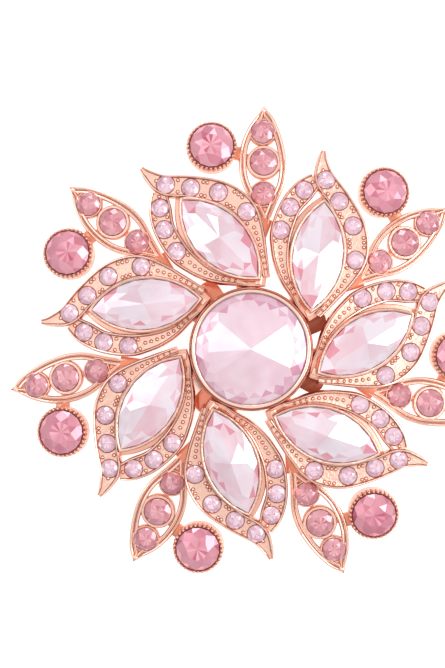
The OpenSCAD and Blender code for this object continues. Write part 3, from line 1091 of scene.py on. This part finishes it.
@dataclass
class Petal(Assembly):
    """One petal: a marquise in its cup between a long arm and a short arm."""

    number: int
    rng: np.random.Generator
    tab_half: float = 0.34
    tab_low: float = 0.25
    tab_high: float = 1.25
    facets: int = 14
    marquise_crown: float = 0.95
    marquise_pavilion: float = 1.1
    marquise_sunk: float = 0.35  # the girdle below the cup's lip
    chips: float = 0.14          # the share of deep facets along the girdle
    pave_crown: float = 0.3
    pave_pavilion: float = 0.62
    pave_sunk: float = 0.05
    long_arm: Arm = field(default_factory=lambda: Arm(LONG_ARM_LINE, LONG_ARM_STONES, LONG_FLOOR))
    short_arm: Arm = field(default_factory=lambda: Arm(SHORT_ARM_LINE, SHORT_ARM_STONES, SHORT_FLOOR))

    def marquise_to_petal(self, points: np.ndarray) -> np.ndarray:
        """Turns points about the marquise's middle and moves them to its place in the petal's frame.

        Args:
            points: Points about the marquise's middle, any shape by 3.

        Returns:
            The moved points.
        """
        a = math.radians(MARQUISE_TURN)
        spin = np.array([[math.cos(a), math.sin(a)], [-math.sin(a), math.cos(a)]])
        out = np.array(points, float)
        out[..., :2] = out[..., :2] @ spin + place(np.array(MARQUISE_AT))
        return out

    def cup(self, work: Workpiece) -> None:
        """Adds the marquise's cup: a wall round the pointed oval whose lip leans in over the stone.

        A loop of the wall is the oval grown by a margin, at one height.

        Args:
            work: Where it goes.
        """
        h, w = MARQUISE_CUP_H, MARQUISE_WALL
        wall = [(w + 0.4, 0.0), (w + 0.5, 0.1), (w + 0.5, 0.5), (w + 0.42, 0.62), (w + 0.02, 0.66), (w, 0.8),
                (w, h - 0.42), (w - 0.05, h - 0.36), (w - 0.05, h - 0.14), (w - 0.1, h - 0.03), (w - 0.18, h),
                (0.08, h - 0.03), (0.0, h - 0.1), (-0.02, h - 0.2), (0.0, h - 0.5), (0.0, 0.5)]
        # painted shade: the cup's outside darker, a dark line under the lip and deep orange-red inside walls
        names = [Part.SIDE] * 7 + [Part.FLOOR] * 5 + [Part.PAINTED_SHADE, Part.WALL, Part.WALL]
        t = np.arange(96) / 96
        loops = [raised(marquise_outline(m)(t), z) for m, z in wall]
        work.sheet(self.marquise_to_petal(np.stack(loops)), [name for name in names for _ in t])

    def casting(self) -> bpy.types.Object:
        """Builds the petal's metal.

        Returns:
            The casting.
        """
        work = Workpiece()
        for arm in (self.short_arm, self.long_arm):
            arm.carve(work)
            arm.dress(work)
        self.cup(work)
        work.slab(place(np.array(TAB_LINE)), self.tab_half, self.tab_low, self.tab_high, Part.POLISHED)
        return work.build(f"petal_metal_{self.number}", self.finishes, petal_sector(self.number).to_row)

    def marquise(self) -> bpy.types.Object:
        """Builds the marquise stone.

        Returns:
            The stone.
        """
        work = Workpiece()

        def tone(level: int, angle: np.ndarray) -> np.ndarray:
            """Painted reflections: light broad facets by the point, and a mosaic of deeper ones towards the girdle.

            Args:
                level: The round of triangles, counted from the point.
                angle: The triangles' angles round the middle.

            Returns:
                Their tones.
            """
            if level <= 1:
                even = np.arctan2(np.sin(angle) / MARQUISE_A, np.cos(angle) / MARQUISE_B)
                return reflection_quarters[np.floor(np.degrees(even + lean) / 90).astype(int) % 4]
            chips = np.where(self.rng.uniform(0, 1, len(angle)) < self.chips, 0.8, 0.0)
            return np.minimum(chips + (0.2 + 0.14 * level) * self.rng.uniform(0, 1, len(angle)) ** 1.5, 1)

        # painted reflection: two opposite quarters by the point stay light and the other two deeper, as facets that
        # catch and miss the light
        lean = self.rng.uniform(-0.3, 0.3)
        reflection_quarters = np.roll([0.0, 0.34, 0.06, 0.26], self.rng.integers(2)) + self.rng.uniform(-0.04, 0.06, 4)
        stone = pointed(marquise_outline(-0.02), self.facets, 0.2, self.marquise_crown, self.marquise_pavilion,
                        ((0.64, 0.34), (0.84, 0.16)), Part.MARQUISE, tone)
        stone.points = self.marquise_to_petal(stone.points)
        stone.set_into(work, (0, 0, MARQUISE_CUP_H - self.marquise_sunk))
        name = f"marquise_crystal_{self.number}"
        return work.build(name, self.finishes, petal_sector(self.number).to_row, facets=True)

    def small_stones(self) -> bpy.types.Object:
        """Builds the seven small stones along both arms.

        Returns:
            The stones, as one object.
        """
        work = Workpiece()
        for arm in (self.long_arm, self.short_arm):
            for x, y in place(np.array(arm.stones)):
                stone = brilliant(PAVE_R, self.pave_crown, self.pave_pavilion, Part.LILAC, self.rng)
                stone.set_into(work, (x, y, arm.floor - self.pave_sunk), self.rng.uniform(0, math.tau))
        name = f"petal_crystals_{self.number}"
        return work.build(name, self.finishes, petal_sector(self.number).to_row, facets=True)

    def make(self) -> None:
        """Builds the petal's three pieces and ties each to its CAD node."""
        k = self.number
        settle(self.casting(), f"petal_casting_{k}")
        settle(self.marquise(), f"marquise_stone_{k}")
        settle(self.small_stones(), f"petal_chatons_{k}")


@dataclass
class Leaf(Assembly):
    """One leaf: an open pointed frame with three collared stones, and the crown stone's cup beside it."""

    number: int
    rng: np.random.Generator
    collars_wide: tuple[float, float, float] = (0.24, 0.4, 0.24)
    beads_round: int = 33
    bead_foot: float = 0.72    # the crown cup's beads below its top
    bead_tall: float = 0.7
    bar_w: float = 0.84
    tip_r: float = 0.42
    tip_at: tuple[float, float] = (-0.5, 25.55)
    tip_tall: float = 1.2      # as a share of tip_r
    tip_sunk: float = 0.5      # the ball's foot below the leaf's top
    stem_half: float = 0.88
    crown_tab_half: float = 0.7
    leaf_crown: float = 0.36   # of the three small stones
    leaf_pavilion: float = 0.7
    leaf_sunk: float = 0.14
    big_crown: float = 0.72    # of the large round stone
    big_pavilion: float = 1.4
    big_sunk: float = 0.35
    big_table: float = 0.5

    def frame_bar(self, work: Workpiece, side: Sequence[Sequence[float]], other: Sequence[Sequence[float]],
                  inward: float) -> None:
        """Adds one side of the leaf's outline: a bar with two ridges and a groove between them.

        A point of the bar is the side's line plus the inward direction times a share of the bar's width. The
        width is never more than half the gap to the other side, so the two bars meet at the leaf's tips.

        Args:
            work: Where it goes.
            side: The side's points from the tip to the root.
            other: The other side's points.
            inward: 1 if the inside is to the left of the line, or -1.
        """
        line, far = catmull_rom(side, 10), catmull_rom(other, 10)
        gap = 0.5 * np.linalg.norm(line - far, axis=1)
        width = np.minimum(self.bar_w, 1.05 * gap + 0.1)
        h = LEAF_T
        section = np.array([
            (0.1, 0.0), (0.0, 0.12), (0.0, h - 0.22), (0.05, h - 0.08), (0.14, h - 0.01), (0.27, h), (0.38, h - 0.06),
            (0.46, h - 0.2), (0.54, h - 0.2), (0.62, h - 0.09), (0.74, h - 0.03), (0.87, h - 0.04),
            (0.96, h - 0.12), (1.0, h - 0.26), (1.0, 0.12), (0.9, 0.0)])
        # painted shade: the bar's sides deep orange-red and the groove between its ridges darkest
        names = [Part.WALL] + [Part.POLISHED] * 6 + [Part.PAINTED_SHADE] + [Part.POLISHED] * 6 + [Part.WALL, Part.BACK]
        work.sheet(place(carried(line, inward * section[:, 0] * width[:, None], section[:, 1])), names)

    def collars(self, work: Workpiece) -> None:
        """Adds the three closed collars and the painted shadow line round each stone.

        Args:
            work: Where they go.
        """
        h = LEAF_T - 0.1
        for (x, y, r), wide in zip(LEAF_STONES, self.collars_wide):
            at = (*place(np.array([x, y])), 0.0)
            out, inner = r + wide, r + 0.03
            profile = [(0, 0), (out - 0.08, 0), (out, 0.1), (out, h - 0.2), (out - 0.04, h - 0.06), (out - 0.1, h),
                       (inner + 0.04, h), (inner, h - 0.05), (inner, 0.4), (0, 0.4)]
            # painted shade: the collar's outer and inner walls deep orange-red, with the darkest line at the top of
            # the inner wall
            names = [Part.BACK] + [Part.WALL] * 2 + [Part.FLOOR] * 4 + [Part.PAINTED_SHADE, Part.WALL]
            work.turned(profile, at, names)
            seat_shadow_line(work, (at[0], at[1], h - 0.005), r - 0.01, 0.05)

    def ties(self, work: Workpiece) -> None:
        """Adds the necks between the collars and the struts that join them to the outline.

        Args:
            work: Where they go.
        """
        for a, b, half in LEAF_TIES:
            # painted shade: the ties are in the deep orange-red shade tone, as they lie low between the parts
            work.slab(place(np.linspace(a, b, 4)), half, 0.1, LEAF_T - 0.32, Part.WALL)

    def outline(self) -> bpy.types.Object:
        """Builds the leaf's metal: both bars, the collars, the ties, the stem and the crown cup's tab.

        Returns:
            The casting.
        """
        work = Workpiece()
        self.frame_bar(work, LEAF_LEFT, LEAF_RIGHT, 1)
        self.frame_bar(work, LEAF_RIGHT, LEAF_LEFT, -1)
        self.collars(work)
        self.ties(work)
        # painted shade: the crown stone's tab is in the deep orange-red shade tone
        work.slab(place(np.linspace(*CROWN_TAB, 4)), self.crown_tab_half, 0.0, LEAF_T - 0.15, Part.WALL)
        tip = place(np.array([[*self.tip_at, LEAF_T - self.tip_sunk]]))
        work.beads(tip, np.array([self.tip_r]), tall=self.tip_tall)
        stem = place(catmull_rom(STEM_LINE, 6))
        # painted shade: the stem's top and sides are in the deep orange-red shade tone
        work.slab(stem, self.stem_half, 0.0, LEAF_T - 0.02, Part.WALL, Part.BACK)
        name = f"leaf_metal_{self.number}"
        return work.build(name, self.finishes, leaf_sector(self.number, flat_root=True).to_row)

    def stones(self) -> bpy.types.Object:
        """Builds the leaf's three stones.

        Returns:
            The stones, as one object.
        """
        work = Workpiece()
        for x, y, r in LEAF_STONES:
            stone = brilliant(r, self.leaf_crown, self.leaf_pavilion, Part.DUSTY, self.rng)
            at = (*place(np.array([x, y])), LEAF_T - self.leaf_sunk)
            stone.set_into(work, at, self.rng.uniform(0, math.tau))
        name = f"leaf_crystals_{self.number}"
        return work.build(name, self.finishes, leaf_sector(self.number).to_row, facets=True)

    def crown_cup(self) -> bpy.types.Object:
        """Builds the crown stone's cup, a turned shape with a round of beads on its lip.

        Returns:
            The cup.
        """
        work = Workpiece()
        r, h = SIZES.crown_cup_r, CROWN_CUP_H
        profile = [(0, 0), (r - 0.15, 0), (r - 0.05, 0.08), (r - 0.05, h - 0.85), (r - 0.28, h - 0.7),
                   (r - 0.28, h - 0.3), (r - 0.3, h - 0.22), (CROWN_R + 0.02, h - 0.22), (CROWN_R - 0.02, h - 0.3),
                   (CROWN_R + 0.02, h - 0.5), (CROWN_R + 0.02, 0.5), (0, 0.5)]
        # painted shade: the cup's outside darker, then deep orange-red, and the darkest tone over the lip and seat
        # inside the beads
        names = [Part.BACK] * 2 + [Part.SIDE, Part.WALL] + [Part.PAINTED_SHADE] * 5 + [Part.WALL] * 2
        at = np.array([*place(np.array(CROWN_AT)), 0.0])
        work.turned(profile, at, names, columns=64)
        bead = math.pi * (r - 0.25) / self.beads_round
        foot = raised(ring_xy(self.beads_round, r - bead), h - self.bead_foot) + at
        work.beads(foot, np.full(len(foot), bead), Part.FLOOR, tall=self.bead_tall / bead)
        return work.build(f"crown_metal_{self.number}", self.finishes, leaf_sector(self.number).to_row)

    def crown_stone(self) -> bpy.types.Object:
        """Builds the large round stone.

        Returns:
            The stone.
        """
        work = Workpiece()
        stone = brilliant(CROWN_R - 0.03, self.big_crown, self.big_pavilion, Part.ROSE, self.rng, self.big_table)
        at = (*place(np.array(CROWN_AT)), CROWN_CUP_H - self.big_sunk)
        stone.set_into(work, at, self.rng.uniform(0, math.tau))
        name = f"crown_crystal_{self.number}"
        return work.build(name, self.finishes, leaf_sector(self.number).to_row, facets=True)

    def make(self) -> None:
        """Builds the leaf's four pieces and ties each to its CAD node."""
        k = self.number
        settle(self.outline(), f"leaf_casting_{k}")
        settle(self.stones(), f"leaf_chatons_{k}")
        settle(self.crown_cup(), f"crown_cup_{k}")
        settle(self.crown_stone(), f"crown_stone_{k}")


@dataclass
class Centre(Assembly):
    """The centre stone, its cup and the plate that carries everything."""

    rng: np.random.Generator
    facets: int = 24
    girdle: float = 0.25
    crown: float = 1.85
    pavilion: float = 2.35
    sunk: float = 0.55       # the girdle below the cup's lip
    lug_start: float = 3.5   # how far from the middle a lug begins
    tiers: tuple[tuple[float, float], ...] = ((0.76, 0.26), (0.87, 0.17))
    # Painted reflection: where each broad sector ends, in degrees as the flower is worn, and the sectors' tones,
    # lightest on the right where the brighter softbox would shine
    reflection_sector_ends: tuple[float, ...] = (38, 128, 208, 328)
    reflection_sector_tones: tuple[float, ...] = (0.0, 0.32, 0.26, 0.36, 0.0)
    # The lightest and the deepest tone of the small facets
    zigzag: tuple[float, float] = (0.2, 1.0)

    def cup(self) -> bpy.types.Object:
        """Builds the plain round cup, with a stepped lip that leans in over the stone.

        Returns:
            The cup.
        """
        work = Workpiece()
        r, h, s = SIZES.cup_r, SIZES.cup_top - SIZES.cup_base, SIZES.centre_r
        profile = [(0, 0), (r - 0.15, 0), (r, 0.12), (r, h - 0.5), (r - 0.05, h - 0.42), (r - 0.07, h - 0.2),
                   (r - 0.13, h - 0.09), (r - 0.2, h - 0.07), (r - 0.25, h - 0.12), (r - 0.29, h - 0.03),
                   (r - 0.36, h), (s + 0.04, h - 0.01), (s - 0.05, h - 0.06), (s - 0.06, h - 0.16),
                   (s + 0.02, h - 0.3), (s + 0.02, 0.45), (0, 0.45)]
        # painted shade: the outside darker, dark lines in the steps of the lip, and the seat and inside walls darkest
        # and deep orange-red
        names = [Part.BACK] * 2 + [Part.SIDE, Part.PAINTED_SHADE] + [Part.POLISHED] * 2 + [Part.PAINTED_SHADE] * 2
        names += [Part.POLISHED] * 4 + [Part.PAINTED_SHADE] * 2 + [Part.WALL] * 2
        work.turned(profile, (0, 0, SIZES.cup_base), names, columns=144)
        return work.build("centre_cup_metal", self.finishes)

    def stone(self) -> bpy.types.Object:
        """Builds the pointed round stone.

        Returns:
            The stone.
        """
        work = Workpiece()
        r = SIZES.centre_r - 0.02

        def outline(t: np.ndarray) -> np.ndarray:
            """Points of the girdle's circle at parameters t."""
            return r * np.stack([np.cos(math.tau * t), np.sin(math.tau * t)], -1)

        def tone(level: int, angle: np.ndarray) -> np.ndarray:
            """Painted reflections: four broad sectors, light and deep in turn, inside a deeper zigzag of small
            facets.

            Args:
                level: The round of triangles, counted from the point.
                angle: The triangles' angles round the middle.

            Returns:
                Their tones.
            """
            if level <= 1:
                # painted reflection: the sectors follow the camera's turn, not the stone's
                seen = (np.degrees(angle) - VIEW_TURN) % 360
                return np.array(self.reflection_sector_tones)[np.searchsorted(self.reflection_sector_ends, seen, side="right")]
            light, deep = self.zigzag
            return light + (deep - light) * self.rng.uniform(0, 1, len(angle))

        gem = pointed(outline, self.facets, self.girdle, self.crown, self.pavilion, self.tiers, Part.RIVOLI, tone)
        gem.set_into(work, (0, 0, SIZES.cup_top - self.sunk))
        return work.build("centre_crystal", self.finishes, facets=True)

    def plate(self) -> bpy.types.Object:
        """Builds the base plate: a round disc with four rounded lugs, the right-hand pair painted darker as shade.

        Returns:
            The plate.
        """
        work = Workpiece()
        t, r = SIZES.plate_top - SIZES.saddle_top, SIZES.cup_r - 0.35
        profile = [(0, 0), (r - 0.2, 0), (r - 0.06, 0.06), (r, 0.2), (r, t - 0.2), (r - 0.06, t - 0.06), (r - 0.2, t),
                   (0, t)]
        work.turned(profile, (0, 0, SIZES.saddle_top), Part.BACK, columns=96)
        tip = place(np.array(LUG_AT))
        reach = np.linalg.norm(tip)
        end = np.linspace(0, math.pi / 2, 9)
        for k in LUG_SECTORS:
            a = math.radians(k * PITCH - 90)
            heading = np.array([[math.cos(a), math.sin(a)], [-math.sin(a), math.cos(a)]])
            out = tip / reach
            steps = np.concatenate([np.linspace(self.lug_start, reach, 5)[:-1], reach + LUG_HALF * np.sin(end)])
            half = np.concatenate([np.full(4, LUG_HALF), LUG_HALF * np.cos(end) + 0.02])
            line = (steps[:, None] * out) @ heading
            # painted shade: the lugs on the right take the darkest tone and those on the left the deep orange-red one
            top = Part.PAINTED_SHADE if line[-1, 0] > 0 else Part.WALL
            work.slab(line, half, SIZES.saddle_top + 0.01, SIZES.plate_top - 0.01, top, Part.BACK)
        return work.build("base_plate_metal", self.finishes)

    def make(self) -> None:
        """Builds the three middle pieces and ties each to its CAD node."""
        settle(self.cup(), "centre_cup")
        settle(self.stone(), "centre_stone")
        settle(self.plate(), "base_plate")


# ---- band ----


class Side(Enum):
    """The band's two halves, as the sign of their X."""

    LEFT = -1
    RIGHT = 1


@dataclass
class Band(Assembly):
    """The open band: two tapering halves, and the saddle under the flower."""

    bend_spread: float = 9.0       # half the span round the shoulder, in degrees; the end points worked out from it are not used
    sections: int = 111
    nose_least: float = 0.06       # a section's thickness at the very end, as a share
    saddle_share: float = 0.5      # half the saddle's length, as a share of the band's radius
    saddle_flat: float = 0.55      # the share of that half which is flat on top
    saddle_clear: float = 0.35     # the saddle's underside above the finger hole
    saddle_sunk: float = 0.04      # its ends below the band's skin

    def width_at(self, z: np.ndarray) -> np.ndarray:
        """The band's width at a height: it narrows evenly from above the middle down to the open ends."""
        share = np.clip((z + SIZES.band_r + 1) / (1.5 * SIZES.band_r + 1), 0, 1)
        return BAND_END_W + (SIZES.band_w - BAND_END_W) * share

    def half(self, side: Side) -> bpy.types.Object:
        """Builds one half of the band.

        A section is a flat oval with a flatter inside, carried round the finger hole's circle. Near the open
        end it shrinks along a quarter circle, so that the end is round.

        Args:
            side: Which half.

        Returns:
            The half.
        """
        inner, outer = SIZES.finger_r, SIZES.band_r
        t = outer - inner
        mid = inner + 0.5 * t
        nose = np.linspace(0, math.pi / 2, 9)
        tip_angle = np.degrees(0.5 * t / mid)
        angle = np.concatenate([np.linspace(0, BAND_END_ANGLE, self.sections + 1)[:-1],
                                BAND_END_ANGLE + tip_angle * np.sin(nose)])
        shrink = np.concatenate([np.ones(self.sections), np.maximum(np.cos(nose), self.nose_least)])
        section = np.array([
            (-0.80, 0.0), (-0.93, 0.06), (-0.99, 0.22), (-1.0, 0.45), (-0.97, 0.68), (-0.88, 0.86), (-0.7, 0.95),
            (-0.4, 0.99), (0.0, 1.0), (0.4, 0.99), (0.7, 0.95), (0.88, 0.86), (0.97, 0.68), (1.0, 0.45),
            (0.99, 0.22), (0.93, 0.06), (0.80, 0.0), (0.3, 0.0), (-0.3, 0.0)])
        a = np.radians(angle)[:, None]
        radius = mid + (section[None, :, 1] - 0.5) * t * shrink[:, None]
        z = radius * np.cos(a)
        grown = 0.5 * self.width_at(mid * np.cos(a)) * (0.35 + 0.65 * shrink[:, None])
        x = side.value * radius * np.sin(a)
        grid = np.stack([x, np.broadcast_to(section[None, :, 0], z.shape) * grown, z], axis=-1)
        work = Workpiece()
        work.sheet(grid, Part.BAND)
        obj = work.build(f"band_half_{side.name.lower()}", self.finishes)
        start, end = (tuple(MM * mid * np.array([side.value * math.sin(b), 0, math.cos(b)]))
                      for b in np.radians([SIZES.shoulder - self.bend_spread, SIZES.shoulder + self.bend_spread]))
        body = f"arm_{side.name.lower()}"
        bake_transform(obj)
        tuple(start)
        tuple(end)
        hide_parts(f"shank_{body}")
        log.info("%s: %d faces", obj.name, len(obj.data.polygons))
        return obj

    def saddle(self) -> bpy.types.Object:
        """Builds the saddle: a block with a flat top whose ends sweep down into the band.

        A section across the finger runs from just above the hole up to the top, which falls in a smooth
        curve, flat in the middle, to the band at both ends.

        Returns:
            The saddle.
        """
        reach, top = self.saddle_share * SIZES.band_r, SIZES.saddle_top
        x = reach * np.sin(np.linspace(-math.pi / 2, math.pi / 2, 41))
        low = np.sqrt((SIZES.finger_r + self.saddle_clear) ** 2 - x ** 2)
        band_top = np.sqrt((SIZES.band_r - self.saddle_sunk) ** 2 - x ** 2)
        fall = np.clip((np.abs(x) / reach - self.saddle_flat) / (1 - self.saddle_flat), 0, 1) ** 2
        high = top + (np.minimum(band_top, top) - top) * fall
        half = 0.5 * SIZES.band_w - 0.02
        section = np.array([(-0.97, 0.0), (-1, 0.12), (-1, 0.86), (-0.985, 0.95), (-0.94, 1), (0.94, 1),
                            (0.985, 0.95), (1, 0.86), (1, 0.12), (0.97, 0.0)])
        y = np.broadcast_to(section[None, :, 0] * half, (len(x), len(section)))
        z = low[:, None] + section[None, :, 1] * (high - low)[:, None]
        grid = np.stack([np.broadcast_to(x[:, None], y.shape), y, z], axis=-1)
        work = Workpiece()
        work.sheet(grid, Part.BAND)
        return work.build("saddle_metal", self.finishes)

    def make(self) -> None:
        """Builds the band's pieces and ties each to its CAD node."""
        for side in Side:
            self.half(side)
        settle(self.saddle(), "shank_saddle")


# ---- studio ----


@dataclass(frozen=True)
class Softbox:
    """One soft light aimed at the flower, placed to the right of, above and before it as the camera sees it."""

    name: str
    at: tuple[float, float, float]
    size: float
    watts: float
    colour: tuple[float, float, float] = (1.0, 1.0, 1.0)


@dataclass
class Studio(Assembly):
    """A pale floor, soft light and a camera straight above the flower."""

    height: float = 330.0
    frame_tall: float = 70.8
    film: float = 36.0
    aside: tuple[float, float] = (-3.02, 1.59)
    floor_half: float = 3.0
    floor_glow: float = 0.45
    sky_stops: tuple[tuple[float, float], ...] = ((0.12, 0.30), (0.4, 0.48), (0.7, 0.84))
    softboxes: tuple[Softbox, ...] = (
        Softbox("right_softbox", (0.40, 0.03, 0.40), 0.34, 1.5, (1.0, 0.99, 0.985)),
        Softbox("left_softbox", (-0.38, 0.12, 0.44), 0.34, 0.5, (1.0, 0.99, 0.985)),
        Softbox("top_softbox", (-0.04, 0.46, 0.26), 0.20, 0.5),
    )

    def axes(self) -> np.ndarray:
        """The directions right, up and towards the camera, one row each."""
        a = math.radians(VIEW_TURN)
        return np.array([[math.cos(a), math.sin(a), 0], [-math.sin(a), math.cos(a), 0], [0, 0, 1]])

    def camera(self) -> None:
        """Makes the camera: it looks straight down, turned so that the flower stands as it is worn."""
        data = bpy.data.cameras.new("camera")
        data.sensor_fit = "AUTO"
        data.sensor_width = self.film
        data.lens = self.film * self.height / self.frame_tall
        data.clip_start, data.clip_end = 0.01, 10.0
        camera = bpy.data.objects.new("camera", data)
        camera.location = (*self.aside, SIZES.cup_top - 2 + self.height) @ self.axes() * MM
        camera.rotation_euler = (0, 0, math.radians(VIEW_TURN))
        bpy.context.scene.collection.objects.link(camera)
        bpy.context.scene.camera = camera

    def lights(self) -> None:
        """Makes the softboxes, each aimed at the flower."""
        for box in self.softboxes:
            data = bpy.data.lights.new(box.name, "AREA")
            data.size, data.energy, data.color = box.size, box.watts, box.colour
            lamp = bpy.data.objects.new(box.name, data)
            lamp.location = box.at @ self.axes()
            aim = -np.array(lamp.location)
            pitch = math.atan2(math.hypot(aim[0], aim[1]), -aim[2])
            lamp.rotation_euler = (pitch, 0, math.atan2(aim[1], aim[0]) - math.pi / 2)
            bpy.context.scene.collection.objects.link(lamp)

    def sky(self) -> None:
        """Makes the surrounding light: bright overhead and dimmer towards the horizon."""
        world = bpy.data.worlds.new("studio_tent")
        world.use_nodes = True
        bpy.context.scene.world = world
        wiring = Wiring(world.node_tree)
        split = wiring.node("SeparateXYZ", {0: wiring.node("TexCoord").outputs["Generated"]})
        ramp = wiring.node("ValToRGB", {"Fac": split.outputs["Z"]})
        stops = ramp.color_ramp.elements
        stops[0].color, stops[1].color = (0.5, 0.5, 0.5, 1), (1.12, 1.1, 1.08, 1)
        for position, level in self.sky_stops:
            stops.new(position).color = (level, level * 0.985, level * 0.97, 1)
        wiring.fill(world.node_tree.nodes["Background"], {"Color": ramp.outputs["Color"], "Strength": 1.0})

    def floor(self) -> None:
        """Makes the pale floor at the band's lowest point."""
        low, s = float(cad_box[0][2]), self.floor_half
        mesh = bpy.data.meshes.new("floor")
        mesh.from_pydata([(-s, -s, low), (s, -s, low), (s, s, low), (-s, s, low)], [], [(0, 1, 2, 3)])
        material, wiring, shader = self.finishes.blank("pale_floor")
        wiring.fill(shader, {"Base Color": (0.93, 0.93, 0.93, 1), "Roughness": 0.6,
                             "Emission Color": (1, 1, 1, 1), "Emission Strength": self.floor_glow})
        mesh.materials.append(material)
        obj = bpy.data.objects.new("floor", mesh)
        bpy.context.scene.collection.objects.link(obj)

    def make(self) -> None:
        """Sets up the camera, the light, the floor and plain colour handling."""
        self.camera()
        self.lights()
        self.sky()
        self.floor()
        bpy.context.scene.view_settings.view_transform = "Standard"


def main() -> None:
    """Builds the ring in order, from the band up to the stones, and then the studio."""
    logging.basicConfig(level=logging.INFO, format="%(name)s: %(message)s")
    rng = np.random.default_rng(SEED)
    finishes = FinishShop()
    Band(finishes).make()
    Centre(finishes, rng).make()
    for k in range(1, PETALS + 1):
        Leaf(finishes, k, rng).make()
        Petal(finishes, k, rng).make()
    Studio(finishes).make()


if __name__ == "__main__":
    main()
